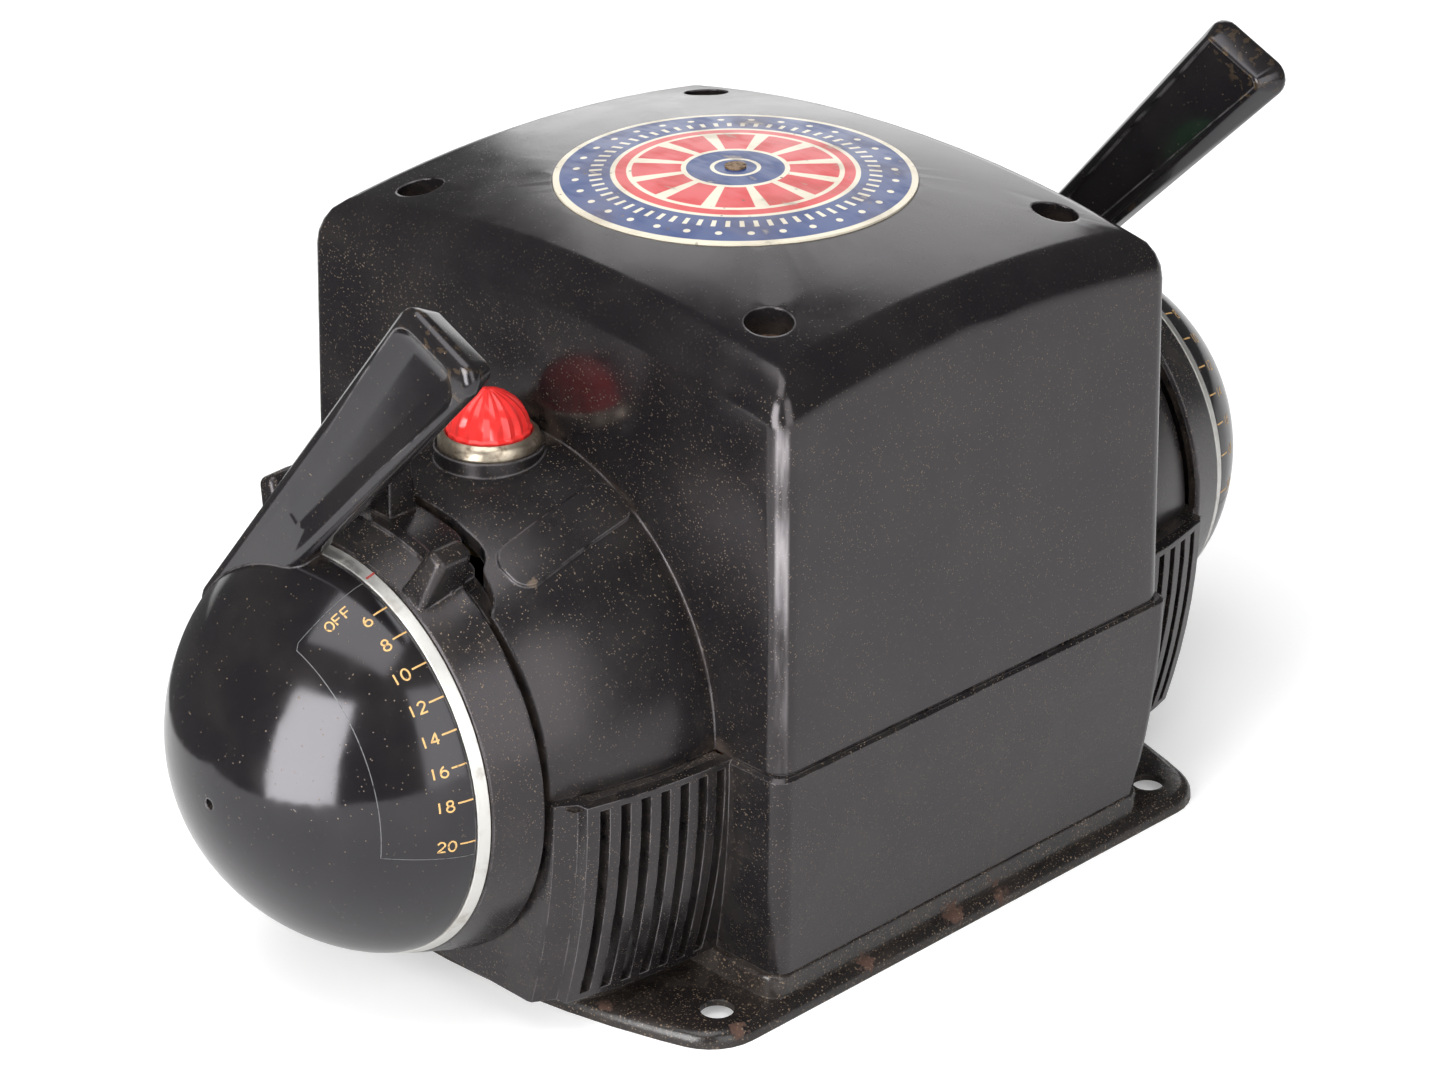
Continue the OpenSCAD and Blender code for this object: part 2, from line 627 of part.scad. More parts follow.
bore_r = 3.6;
module cord_grommet() color("#2a2624") translate([grommet_x, pad_y, grommet_z]) rotate([-90, 0, 0])
    rotate_extrude() polygon([[bore_r, -8.2], [grommet_r + 1.8, -8.2], [grommet_r + 1.8, -6.1],
        [grommet_r - seat_fit, -6.1], [grommet_r - seat_fit, 0.05], [grommet_r + 2.4, 0.05],
        [grommet_r + 2.4, 1.4], [grommet_r + 1, 2.4], [bore_r + 0.6, 2.4], [bore_r, 1.8]]);

// ---------- hub pieces, drawn for the right hub ----------

// The dome's outline, from rim to apex.
function dome_profile(r, l, n) = [for (i = [0:n]) let (t = sin(90 * i / n))
    [r * pow(max(1 - pow(t, 1.4), 0), 1 / 1.9), dome_x0 + l * t]];

// The blade's outline, along the handle (u) and across it (w), on its outer face. Its upper edge runs
// out of the dome's rim like a tangent. The inner face is smaller all round, most of all at the tip.
handle_top = dome_r - 0.4;
handle_low = 35;
top_splay = 0.05;
low_splay = 0.048;
root_draft = 0.6;
tip_draft = 2.4;
tip_slope = 0.32;
edge_r = 2.2;
inner_edge_r = 1.2;
tip_r = 5;
root_r = 5.2;
root_u = -3;
foot_u = 16;
function top_w(u) = handle_top + top_splay * u;
function low_w(u) = handle_low - low_splay * u;
function end_u(w) = handle_reach + tip_slope * (top_w(handle_reach) - w);

// A disc with a rounded rim, one corner of the handle.
module puck(u, w, r, draft) translate([0, w, u])
    for (s = [[handle_x0 + inner_edge_r, r - draft, inner_edge_r], [handle_x1 - edge_r, r, edge_r]])
        translate([s[0], 0, 0]) rotate([0, 90, 0]) rotate_extrude($fn = 24)
            translate([s[1] - s[2], 0]) circle(r = s[2], $fn = 12);

tip_top = top_w(handle_reach) - tip_r;
tip_low = low_w(handle_reach) + tip_r;
module handle_blade() turned(handle_lean) hull() {
    puck(root_u, top_w(root_u) - root_r, root_r, root_draft);
    puck(foot_u, low_w(foot_u) + root_r, root_r, root_draft);
    puck(end_u(tip_top) - tip_r, tip_top, tip_r, tip_draft);
    puck(end_u(tip_low) - tip_r, tip_low, tip_r, tip_draft);
}

// The outer face is hollowed like a spoon: deepest behind a lip at the tip, and running out at the dome.
scoop = 3;
scoop_r = 8;
scoop_in = 8;         // from the blade's edges to the middle of the hollow's corners
lip = 4.6;
run_out_u = 44;
module scoop_end(u, w, depth) translate([handle_x1 + scoop_r - depth, w, u]) sphere(r = scoop_r, $fn = 32);
module handle_scoop() turned(handle_lean) hull() {
    for (w = [tip_top + tip_r - scoop_in, tip_low - tip_r + scoop_in])
        scoop_end(end_u(w) - lip - scoop_r * 0.78, w, scoop);
    for (w = [top_w(run_out_u) - scoop_in + 0.5, low_w(run_out_u) + scoop_in - 0.5])
        scoop_end(run_out_u, w, 0.4);
}

// The inner face has a shallow recess inside a plain rim.
rim = 1.6 + tip_draft;
recess = 0.7;
recess_u = 44;
module handle_recess() turned(handle_lean) translate([handle_x0 - past, 0, 0]) rotate([90, 0, 90])
    linear_extrude(past + recess) polygon([
        [top_w(recess_u) - rim, recess_u], [tip_top + 1, end_u(tip_top) - rim],
        [tip_low + 1, end_u(tip_low) - rim], [tip_low - 1, end_u(tip_low) - rim - 0.7],
        [tip_low - tip_r + rim, end_u(tip_low) - rim - 3], [low_w(recess_u) + rim, recess_u]]);

boss_out_r = shaft_r + 4;
apex_r = 1.3;
shaft_end = dome_x1 - 7;
dome_wall = 3;
module throttle_lever() color(black) difference() {
    union() {
        difference() {
            union() {
                on_axis() rotate_extrude() polygon(concat([[0, dome_x0]], dome_profile(dome_r, dome_l, 22)));
                difference() {
                    handle_blade();
                    handle_scoop();
                    handle_recess();
                    rod(index_r + 0.6, handle_x0 - 5, dome_x0);
                    rod(dome_r - 6, dome_x0 - past, dome_x1);
                }
            }
            on_axis() rotate_extrude() polygon(concat([[0, dome_x0 - past], [dome_r - dome_wall, dome_x0 - past]],
                dome_profile(dome_r - dome_wall, dome_l - dome_wall - 1, 14)));
        }
        rod(boss_out_r, index_x0 + index_disc + rest_gap, dome_x1 - 3);
    }
    difference() {
        rod(shaft_r, 0, shaft_end);
        translate([0, -shaft_r, axis_z + shaft_r * 0.6]) cube([dome_x1, 2 * shaft_r, shaft_r]);
    }
    rod(apex_r, shaft_end - past, dome_x1 + past);
}

shaft_in = arm_x - 1.5;
module throttle_shaft() color(steel_grey) difference() {
    union() {
        rod(shaft_r, shaft_in, shaft_end);
        rod(apex_r - seat_fit, shaft_end - past, dome_x1 - 2.4);
    }
    translate([index_x0 + index_disc + rest_gap, -shaft_r, axis_z + shaft_r * 0.6])
        cube([shaft_end, 2 * shaft_r, shaft_r]);
}

roller_l = 7;
ear_t = 1.3;
module contact_arm() color("#b98a4a") {
    difference() {
        union() {
            rod(shaft_r + 4, arm_x, arm_x + collar_l);
            turned(arm_rest) translate([arm_x, -4, 0]) cube([arm_t, 8, roller_reach + roller_l / 2 + rest_gap + ear_t]);
            turned(arm_rest) for (z = [roller_reach - roller_l / 2 - rest_gap - ear_t, roller_reach + roller_l / 2 + rest_gap])
                translate([roller_x - 2.2, -3, z]) cube([arm_x + arm_t - roller_x + 2.2, 6, ear_t]);
        }
        rod(shaft_r, 0, arm_x + collar_l + past);
    }
    turned(arm_rest) translate([roller_x, 0, roller_reach - roller_l / 2 - rest_gap - ear_t])
        cylinder(r = 1.2, h = roller_l + 2 * (rest_gap + ear_t));
}
module carbon_roller() color("#2d2d30") turned(arm_rest) translate([roller_x, 0, roller_reach - roller_l / 2])
    difference() {
        cylinder(r = roller_r, h = roller_l);
        translate([0, 0, -past]) cylinder(r = 1.2 + run_fit, h = roller_l + 2 * past);
    }

// A thumb tab: a wedge with a rounded top, leaning in from a longer foot on the ring.
module knob(x, y, z, r) translate([x, y, z]) sphere(r = r, $fn = 16);
module thumb_tab() turned(tab_angle) hull() {
    for (y = [-2.6, 2.4]) {
        knob(ring_x0, y, ring_r - 3.4, 1.2);
        knob(ring_x1 - 2, y, index_r - 1.4, 1.4);
    }
    for (y = [-0.6, 1.4]) {
        knob(ring_x0 + 1.6, y, ring_r + tab_h - 2, 2);
        knob(ring_x1 - 5, y, ring_r + tab_h - 2.3, 2);
    }
}

// The finger post that stands on the tongue.
finger_h = 14;
module finger_post() turned(0) hull() {
    for (y = [-2.6, 2.6]) translate([tongue_x + 1, y, ring_r - 1.4]) rotate([0, 90, 0])
        cylinder(r = 1, h = ring_x0 - tongue_x - 1.2, $fn = 16);
    for (y = [-1.4, 1.4]) translate([tongue_x + 1.8, y, ring_r + finger_h]) rotate([0, 90, 0])
        cylinder(r = 1.2, h = ring_x0 - tongue_x - 3, $fn = 16);
}

module controller_ring() color("#202023") difference() {
    union() {
        on_axis() rotate_extrude() polygon([[0, web_x0], [ring_r - 4, web_x0], [ring_r - ring_t, ring_x0],
            [ring_r - 0.8, ring_x0], [ring_r, ring_x0 + 0.8], [index_r + 0.3, ring_x1 - 0.3],
            [index_r - 0.1, ring_x1], [index_r - ring_t, ring_x1], [index_r - ring_t, web_x1], [0, web_x1]]);
        rod(journal_r + 4, ring_x0 - 0.5, web_x1);
        difference() {
            intersection() {
                rod(ring_r - 0.2, tongue_x, web_x0);
                translate([0, 0, axis_z]) linear_extrude(far)
                    polygon(window_plan(tongue_x, rock_room, web_x0 + past));
            }
            rod(ring_r - tongue_t - 0.3, tongue_x - past, web_x0 + past);
        }
        for (m = [0, 1]) mirror([0, m, 0]) thumb_tab();
        finger_post();
    }
    rod(journal_r + run_fit, 0, web_x1 + past);
}

// A torsion spring round the bush, with a straight leg at each end.
coils = 4;
wire_r = 0.55;
coil_r = journal_r + 2;
leg_l = 5;
spring_x0 = web_x1 + wire_r + rest_gap;
spring_x1 = index_x0 - wire_r - 0.05;
module controller_spring() {
    n = 18 * coils;
    sides = 6;
    rings = [for (i = [-1:n + 1]) let (k = min(max(i, 0), n), a = 360 * coils * k / n,
        out = i < 0 ? -leg_l : (i > n ? leg_l : 0), x = spring_x0 + (spring_x1 - spring_x0) * k / n)
        [for (j = [0:sides - 1]) let (b = 360 * j / sides, r = coil_r + wire_r * cos(b))
            [x + wire_r * sin(b), r * cos(a) - out * sin(a), axis_z + r * sin(a) + out * cos(a)]]];
    color(steel_grey) loft(rings);
}

module index_ring() color("#d6d8da") difference() {
    on_axis() rotate_extrude() polygon([[0, index_x0], [index_r - 0.2, index_x0], [index_r, index_x0 + 0.2],
        [index_r - 0.9, index_x1 - 0.3], [index_r - 1.2, index_x1], [index_r - 3, index_x1],
        [index_r - 3, index_x0 + index_disc], [0, index_x0 + index_disc]]);
    rod(neck_r, 0, index_x1);
}

flange_in = 1.8;
module hub_bush() color(brass) difference() {
    union() {
        rod(bush_r + 3, end_wall - flange_in, end_wall);
        rod(bush_r, end_wall - 0.5, pedestal_x + 0.4);
        rod(journal_r, pedestal_x, index_x0);
        rod(neck_r, index_x0 - past, index_x0 + index_disc);
    }
    rod(shaft_r + run_fit, 0, index_x1);
}

bracket_t = 2;
module bearing_bracket() color(steel_grey) difference() {
    union() {
        translate([bracket_x, -bracket_w / 2, platform_z]) cube([bracket_t, bracket_w, axis_z - platform_z - 4]);
        translate([bracket_x - bracket_foot, -bracket_w / 2, platform_z]) cube([bracket_foot + 1, bracket_w, 2]);
        rod(bracket_w / 4, bracket_x, bracket_x + bracket_t);
        rod(shaft_r + 3, bracket_x - 1.2, bracket_x + 5);
    }
    rod(shaft_r + run_fit, 0, bracket_x + 10);
    at_frame_screws_right() cylinder(r = frame_screw_r + seat_fit, h = 20);
}
module at_frame_screws_right() for (y = [-1, 1]) translate([bracket_x - bracket_foot / 2, y * 16, 0]) children();

// ---------- lamps ----------

bezel_r = 11.8;
bezel_h = 3.3;
lens_seat = lamp_z + 1.8;
lens_r = 9.85;
lens_h = 11.4;
ribs = 18;
module at_lamp(z) translate([lamp_x, 0, z]) children();

module lamp_bezel() color("#c5bda6") at_lamp(0) rotate_extrude() polygon([
    [bezel_neck_r - 1.4, lamp_z - 5.4], [bezel_neck_r - seat_fit, lamp_z - 5.4],
    [bezel_neck_r - seat_fit, lamp_z], [bezel_r, lamp_z], [bezel_r, lamp_z + 1.4],
    [bezel_r - 0.3, lamp_z + 2.3], [bezel_r - 1, lamp_z + bezel_h - 0.3], [bezel_r - 1.5, lamp_z + bezel_h],
    [lens_r + seat_fit, lamp_z + bezel_h - 0.3], [lens_r + seat_fit, lens_seat],
    [bezel_neck_r - 1.4, lens_seat]]);

// A pressed jewel: ribs fade towards the top, and the foot is scalloped.
function lens_profile(t) = t < 0.16 ? 1 : pow(1 - pow((t - 0.16) / 0.84, 2.1), 0.62);
module lamp_lens(tint) {
    levels = [0, 0.16, 0.2, 0.32, 0.46, 0.6, 0.74, 0.86, 0.95, 0.99];
    color(tint) difference() {
        at_lamp(lens_seat) loft([for (t = levels) [for (i = [0:4 * ribs - 1]) let (a = 90 * i / ribs,
            wave = (0.5 - 0.5 * cos(360 * i / 4)) * (t < 0.17 ? 0.35 : 0.6) * (1 - t * 0.5),
            r = (lens_r - (t < 0.17 ? 0 : 0.45)) * lens_profile(t) - wave)
            [r * cos(a), r * sin(a), lens_h * t]]]);
        at_lamp(lens_seat - past) cylinder(r = lens_r - 2.4, h = past + 3);
        at_lamp(lens_seat + 3 - 0.1) cylinder(r1 = lens_r - 2.4, r2 = 3, h = 5);
    }
}
base_r = 4.6;
module lamp_socket() color(brass) at_lamp(0) difference() {
    union() {
        translate([0, 0, tube_z - 2]) cylinder(r = bezel_neck_r - 0.1 + 2, h = 2);
        translate([0, 0, tube_z - 8]) cylinder(r = bezel_neck_r - 1.6, h = lamp_z - 3.6 - tube_z + 8);
    }
    translate([0, 0, tube_z]) cylinder(r = base_r + seat_fit, h = lamp_z);
}
module lamp_bulb() color("#f4e6c0") at_lamp(0) {
    translate([0, 0, tube_z]) cylinder(r = base_r, h = lamp_z - 3 - tube_z);
    translate([0, 0, lamp_z - 0.6]) sphere(r = 5.2);
}

// ---------- the nodes ----------

upper_casing();
lower_casing();
base_plate();
casing_screws();
screw_nuts();
nameplate();
nameplate_rivet();
laminated_core();
coil_bobbin();
coil_winding();
commutator_faces();
core_frames();
core_bolts();
frame_screws();
rectifier_disc();
circuit_breaker();
terminal_board();
binding_posts();
thumb_nuts();
cord_grommet();
hub(-1) throttle_lever();  // left_throttle_lever
hub(1) throttle_lever();  // right_throttle_lever
hub(-1) throttle_shaft();  // left_throttle_shaft
hub(1) throttle_shaft();  // right_throttle_shaft
hub(-1) contact_arm();  // left_contact_arm
hub(1) contact_arm();  // right_contact_arm
hub(-1) carbon_roller();  // left_carbon_roller
hub(1) carbon_roller();  // right_carbon_roller
hub(-1) controller_ring();  // left_controller_ring
hub(1) controller_ring();  // right_controller_ring
hub(-1) controller_spring();  // left_controller_spring
hub(1) controller_spring();  // right_controller_spring
hub(-1) index_ring();  // left_index_ring
hub(1) index_ring();  // right_index_ring
hub(-1) hub_bush();  // left_hub_bush
hub(1) hub_bush();  // right_hub_bush
hub(-1) bearing_bracket();  // left_bearing_bracket
hub(1) bearing_bracket();  // right_bearing_bracket
hub(-1) lamp_lens("#e8322f");  // left_lamp_lens
hub(1) lamp_lens("#3aa05a");  // right_lamp_lens
hub(-1) lamp_bezel();  // left_lamp_bezel
hub(1) lamp_bezel();  // right_lamp_bezel
hub(-1) lamp_bulb();  // left_lamp_bulb
hub(1) lamp_bulb();  // right_lamp_bulb
hub(-1) lamp_socket();  // left_lamp_socket
hub(1) lamp_socket();  // right_lamp_socket
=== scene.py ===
import math

import bpy
import numpy as np
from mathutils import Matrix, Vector
from mathutils.bvhtree import BVHTree


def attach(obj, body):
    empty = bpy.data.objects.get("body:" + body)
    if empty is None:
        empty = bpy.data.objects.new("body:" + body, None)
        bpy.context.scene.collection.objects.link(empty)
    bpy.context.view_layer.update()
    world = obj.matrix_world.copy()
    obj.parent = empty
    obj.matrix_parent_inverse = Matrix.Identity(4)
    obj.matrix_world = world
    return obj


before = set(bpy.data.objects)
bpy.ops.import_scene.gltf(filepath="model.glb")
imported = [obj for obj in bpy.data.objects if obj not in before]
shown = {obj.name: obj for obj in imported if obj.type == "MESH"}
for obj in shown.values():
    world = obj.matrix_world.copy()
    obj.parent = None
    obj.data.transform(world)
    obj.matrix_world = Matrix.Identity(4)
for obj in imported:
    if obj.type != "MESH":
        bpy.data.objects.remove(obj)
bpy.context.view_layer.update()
scene = bpy.context.scene

# ---------- Camera ----------
# The photograph was taken from the front left and a little above, with a long lens. The camera stands
# where the sheet-metal base, the screw wells and the nameplate line up with their places in it.
PHOTO_W, PHOTO_H = 1445, 1084
LONG_SIDE = max(PHOTO_W, PHOTO_H)
LENS_MM, SENSOR_MM = 104.35, 36.0
CAMERA_PLACE = (-0.6495, -0.6537, 0.5155)
CAMERA_AZIMUTH, CAMERA_ELEVATION = 225.374, 25.673

camera = bpy.data.objects.new("camera", bpy.data.cameras.new("camera"))
camera.data.lens = LENS_MM
camera.data.sensor_width = SENSOR_MM
camera.data.sensor_fit = "AUTO"
camera.location = CAMERA_PLACE
camera.rotation_euler = (math.radians(90 - CAMERA_ELEVATION), 0, math.radians(CAMERA_AZIMUTH - 270))
scene.collection.objects.link(camera)
scene.camera = camera
bpy.context.view_layer.update()
EYE = camera.matrix_world.copy()

# Where things show in the photograph, in its own pixels.
POINTS = {
    "left_edge": (164, None), "right_edge": (1284, None), "top_edge": (None, 33), "bottom_edge": (None, 1049),
    "near_flange_hole": (715, 1012), "far_flange_hole": (1149, 788), "near_screw": (770, 325),
    "far_screw": (1053, 215), "left_screw": (422, 190), "nameplate_rivet": (738, 168),
    "apex_hole": (215, 802), "near_lens": (488, 418), "numeral_6": (363, 623), "numeral_20": (450, 845),
    "plaque_chip": (533, 583), "rust_middle": (953, 913), "rust_left": (866, 962), "rust_corner": (740, 1030),
    "rust_end": (606, 1004),
}


def carried_by(objects):
    """The finished surfaces of some pieces as one tree to place things on."""
    corners, faces = [], []
    for piece in objects:
        base = len(corners)
        corners += [piece.matrix_world @ v.co for v in piece.data.vertices]
        faces += [[base + i for i in f.vertices] for f in piece.data.polygons]
    return BVHTree.FromPolygons(corners, faces)


MIDDLE = Vector((0, 0, 0.08))      # of the object, for rays that miss it and for the lamps


def put_on(point, tree):
    """The place on a surface where a point of the photograph falls."""
    x, y = point
    ray = Vector((x - PHOTO_W / 2, PHOTO_H / 2 - y, -LONG_SIDE * LENS_MM / SENSOR_MM)).normalized()
    aim = EYE.to_3x3() @ ray
    place = tree.ray_cast(EYE.translation, aim)[0]
    if place is None:
        place = tree.find_nearest(EYE.translation + aim * (MIDDLE - EYE.translation).length)[0]
    return place


# ---------- Moulded casings ----------
# Both halves of the casing are compression-moulded black phenolic, glossy where the mould was polished.
# Years of dust lie in the corners and along the ledges, and pale specks of it stick all over.


def tree_of(material):
    material.use_nodes = True
    return material.node_tree


def node(tree, kind, settings=None, **inputs):
    """A shader node with its settings, and its inputs given as values or as sockets to join."""
    made = tree.nodes.new(kind)
    for key, value in (settings or {}).items():
        setattr(made, key, value)
    for key, value in inputs.items():
        name = key.replace("_", " ")
        socket = made.inputs[int(key[1:])] if key[1:].isdigit() else made.inputs[name]
        if isinstance(value, bpy.types.NodeSocket):
            tree.links.new(value, socket)
        else:
            socket.default_value = value
    return made


def maths(tree, operation, a, b=0.0, clamp=False):
    return node(tree, "ShaderNodeMath", {"operation": operation, "use_clamp": clamp}, i0=a, i1=b).outputs[0]


def between(tree, value, low, high, to_low=0.0, to_high=1.0):
    """Runs a value from low to high onto another range, smoothly."""
    made = node(tree, "ShaderNodeMapRange", {"interpolation_type": "SMOOTHSTEP"}, Value=value)
    made.inputs["From Min"].default_value = low
    made.inputs["From Max"].default_value = high
    made.inputs["To Min"].default_value = to_low
    made.inputs["To Max"].default_value = to_high
    return made.outputs[0]


def blend_colours(tree, share, first, second):
    made = tree.nodes.new("ShaderNodeMix")
    made.data_type = "RGBA"
    for socket, value in ((made.inputs[0], share), (made.inputs[6], first), (made.inputs[7], second)):
        if isinstance(value, bpy.types.NodeSocket):
            tree.links.new(value, socket)
        else:
            socket.default_value = value if socket.type == "VALUE" else (*value, 1)
    return made.outputs[2]


def noise(tree, where, scale, detail=3.0, stretch=(1, 1, 1)):
    moved = node(tree, "ShaderNodeMapping", None, Vector=where, Scale=stretch).outputs[0]
    return node(tree, "ShaderNodeTexNoise", None, Vector=moved, Scale=scale, Detail=detail).outputs["Fac"]


def specks(tree, where, scale, size, share, stretch=(1, 1, 1), turn=(0.5, 0.9, 0.3)):
    """Scattered dots or fibres: a share of the cells of a Voronoi pattern has one in it."""
    moved = node(tree, "ShaderNodeMapping", None, Vector=where, Rotation=turn).outputs[0]
    moved = node(tree, "ShaderNodeMapping", None, Vector=moved, Scale=stretch).outputs[0]
    cells = node(tree, "ShaderNodeTexVoronoi", None, Vector=moved, Scale=scale)
    dot = between(tree, cells.outputs["Distance"], size * 1.2, size * 0.7)
    draw = node(tree, "ShaderNodeSeparateColor", None, Color=cells.outputs["Color"])
    strength = between(tree, draw.outputs[1], 0.0, 0.9, 0.35, 1.0)
    chosen = between(tree, draw.outputs[0], 1 - share, 1 - share + 0.01)
    return maths(tree, "MULTIPLY", maths(tree, "MULTIPLY", dot, strength), chosen)


def blot(tree, where, piece, point, radius):
    """A ragged spot on a piece, about a point of the photograph."""
    place = put_on(POINTS[point], carried_by([piece]))
    home = tuple(piece.matrix_world.inverted() @ place)
    away = node(tree, "ShaderNodeVectorMath", {"operation": "DISTANCE"}, i0=where, i1=home).outputs["Value"]
    ragged = maths(tree, "MULTIPLY", noise(tree, where, 700, 5), radius * 2.2)
    return between(tree, maths(tree, "ADD", away, ragged), radius * 2.0, radius * 1.6)


def principled(tree):
    return tree.nodes["Principled BSDF"]


PHENOLIC, CLOUDED = (0.0080, 0.0072, 0.0080), (0.0110, 0.0100, 0.0108)
PHENOLIC_SHINE = (1.0, 0.925, 0.965)
# The grey of the painted highlight that runs along the phenolic's edges.
EDGE_HIGHLIGHT = (0.19, 0.178, 0.184)
DUST = (0.33, 0.245, 0.160)
GRIME = (0.050, 0.034, 0.023)
PHENOLIC_IOR = 1.53
HUB_FROM = 0.067      # the distance from the middle at which a drum begins


def largest(tree, *values):
    total = values[0]
    for value in values[1:]:
        total = maths(tree, "MAXIMUM", total, value)
    return total


def phenolic(name, gloss, dusty, grimy=1.0, peel=0.10, film=0.02, satin_hubs=0.0, extra_marks=None,
             wiped_above=None, shine=PHENOLIC_SHINE, round_over=0.0008):
    """Black phenolic, with specks and lint, grime in its corners and a painted highlight along its edges."""
    material = bpy.data.materials.new(name)
    tree = tree_of(material)
    skin = principled(tree)
    where = node(tree, "ShaderNodeTexCoord").outputs["Object"]
    part = node(tree, "ShaderNodeSeparateXYZ", None, Vector=where).outputs
    facing = node(tree, "ShaderNodeNewGeometry").outputs["Normal"]
    rounded = node(tree, "ShaderNodeBevel", {"samples": 6}, Radius=round_over).outputs[0]
    patchy = noise(tree, where, 70, 5)
    edge = node(tree, "ShaderNodeVectorMath", {"operation": "DOT_PRODUCT"}, i0=rounded, i1=facing)
    edge = between(tree, edge.outputs["Value"], 0.99, 0.90)
    # Painted highlight: a paler grey along every edge that the bevel finds, broken up by noise.
    edge_highlight = maths(tree, "MULTIPLY", edge, between(tree, noise(tree, where, 140), 0.36, 0.58))
    open_air = node(tree, "ShaderNodeAmbientOcclusion", {"samples": 8}, Distance=0.008).outputs["AO"]
    corner = between(tree, open_air, 0.66, 0.28)
    corner = maths(tree, "MULTIPLY", corner, between(tree, noise(tree, where, 210, 6), 0.34, 0.62))
    upward = node(tree, "ShaderNodeSeparateXYZ", None, Vector=facing).outputs["Z"]
    up = between(tree, upward, -0.3, 0.9, 0.45, 1.0)
    gathers = between(tree, noise(tree, where, 30, 4), 0.32, 0.66, 0.50, 1.0)
    if wiped_above:
        wiped = between(tree, part["Z"], wiped_above, wiped_above + 0.008, 1.0, 0.25)
        gathers = maths(tree, "MULTIPLY", gathers, wiped)
    dots = specks(tree, where, 1200, 0.20, 0.20 * dusty)
    fine = specks(tree, where, 1900, 0.28, 0.26 * dusty, turn=(1.1, 0.2, 0.7))
    lint = largest(tree, specks(tree, where, 950, 0.125, 0.28 * dusty, (1.0, 0.30, 1.0), (0.2, 0.4, 1.0)),
                   specks(tree, where, 950, 0.125, 0.28 * dusty, (1.0, 1.0, 0.30), (0.9, 0.3, 0.2)),
                   specks(tree, where, 950, 0.125, 0.28 * dusty, (0.30, 1.0, 1.0), (0.4, 0.8, 0.6)))
    big = specks(tree, where, 520, 0.12, 0.03 * dusty, (1.0, 0.7, 1.0), (0.7, 0.1, 0.2))
    dust = maths(tree, "MULTIPLY", largest(tree, dots, fine, lint, big), maths(tree, "MULTIPLY", gathers, up))
    haze = maths(tree, "MULTIPLY", maths(tree, "MULTIPLY", up, gathers), between(tree, patchy, 0.38, 0.72))
    colour = blend_colours(tree, between(tree, patchy, 0.3, 0.8), PHENOLIC, CLOUDED)
    colour = blend_colours(tree, maths(tree, "MULTIPLY", edge_highlight, 0.60), colour, EDGE_HIGHLIGHT)
    colour = blend_colours(tree, maths(tree, "MULTIPLY", haze, film), colour, DUST)
    colour = blend_colours(tree, maths(tree, "MULTIPLY", corner, 0.85 * grimy, True), colour, GRIME)
    colour = blend_colours(tree, maths(tree, "MULTIPLY", dust, 0.80, True), colour, DUST)
    # Further marks: a chip and a painted highlight down the corners on the casing, and old gold on the
    # levers.
    if extra_marks:
        colour = extra_marks(tree, where, edge, colour)
    dull = maths(tree, "ADD", between(tree, patchy, 0.25, 0.8, gloss, gloss + 0.09),
                 maths(tree, "MULTIPLY", maths(tree, "MAXIMUM", dust, corner), 0.6))
    if satin_hubs:
        outward = maths(tree, "ABSOLUTE", part["X"])
        dull = maths(tree, "ADD", dull, between(tree, outward, HUB_FROM, HUB_FROM + 0.003, 0.0, satin_hubs))
    height = maths(tree, "ADD", maths(tree, "MULTIPLY", noise(tree, where, 420, 2), peel),
                   maths(tree, "MULTIPLY", dust, 0.6))
    bump = node(tree, "ShaderNodeBump", None, Height=height, Strength=0.35, Distance=0.0002, Normal=rounded)
    tree.links.new(colour, skin.inputs["Base Color"])
    tree.links.new(dull, skin.inputs["Roughness"])
    tree.links.new(bump.outputs[0], skin.inputs["Normal"])
    skin.inputs["IOR"].default_value = PHENOLIC_IOR
    skin.inputs["Specular Tint"].default_value = (*shine, 1)
    return material


def soften(piece, angle):
    """Smooth normals over faces that meet at less than an angle, where the solid has flat facets."""
    mesh = piece.data
    count = len(mesh.loops)
    corner_vertex = np.empty(count, np.int64)
    mesh.loops.foreach_get("vertex_index", corner_vertex)
    co = np.empty(len(mesh.vertices) * 3)
    mesh.vertices.foreach_get("co", co)
    _, place = np.unique(np.round(co.reshape(-1, 3) * 1e6).astype(np.int64), axis=0, return_inverse=True)
    face_of = np.repeat(np.arange(len(mesh.polygons)), [p.loop_total for p in mesh.polygons])
    flat = np.array([p.normal for p in mesh.polygons])
    area = np.array([p.area for p in mesh.polygons])
    at = place.reshape(-1)[corner_vertex]
    order = np.argsort(at, kind="stable")
    starts = np.flatnonzero(np.r_[True, np.diff(at[order]) > 0, True])
    normals = flat[face_of].copy()
    least = math.cos(math.radians(angle))
    for first, last in zip(starts[:-1], starts[1:]):
        group = order[first:last]
        faces = face_of[group]
        near = (flat[faces] @ flat[faces].T) > least
        total = near @ (flat[faces] * area[faces][:, None])
        normals[group] = total / np.maximum(np.linalg.norm(total, axis=1), 1e-12)[:, None]
    mesh.polygons.foreach_set("use_smooth", [True] * len(mesh.polygons))
    mesh.normals_split_custom_set(normals.tolist())


def dress(piece, material, angle=30):
    """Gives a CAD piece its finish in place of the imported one."""
    piece.data.materials.clear()
    piece.data.materials.append(material)
    for face in piece.data.polygons:
        face.material_index = 0
    soften(piece, angle)


def mesh_object(name, corners, faces, material, body=None):
    mesh = bpy.data.meshes.new(name)
    mesh.from_pydata(corners, [], faces)
    mesh.materials.append(material)
    made = bpy.data.objects.new(name, mesh)
    scene.collection.objects.link(made)
    if body:
        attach(made, body)
    return made


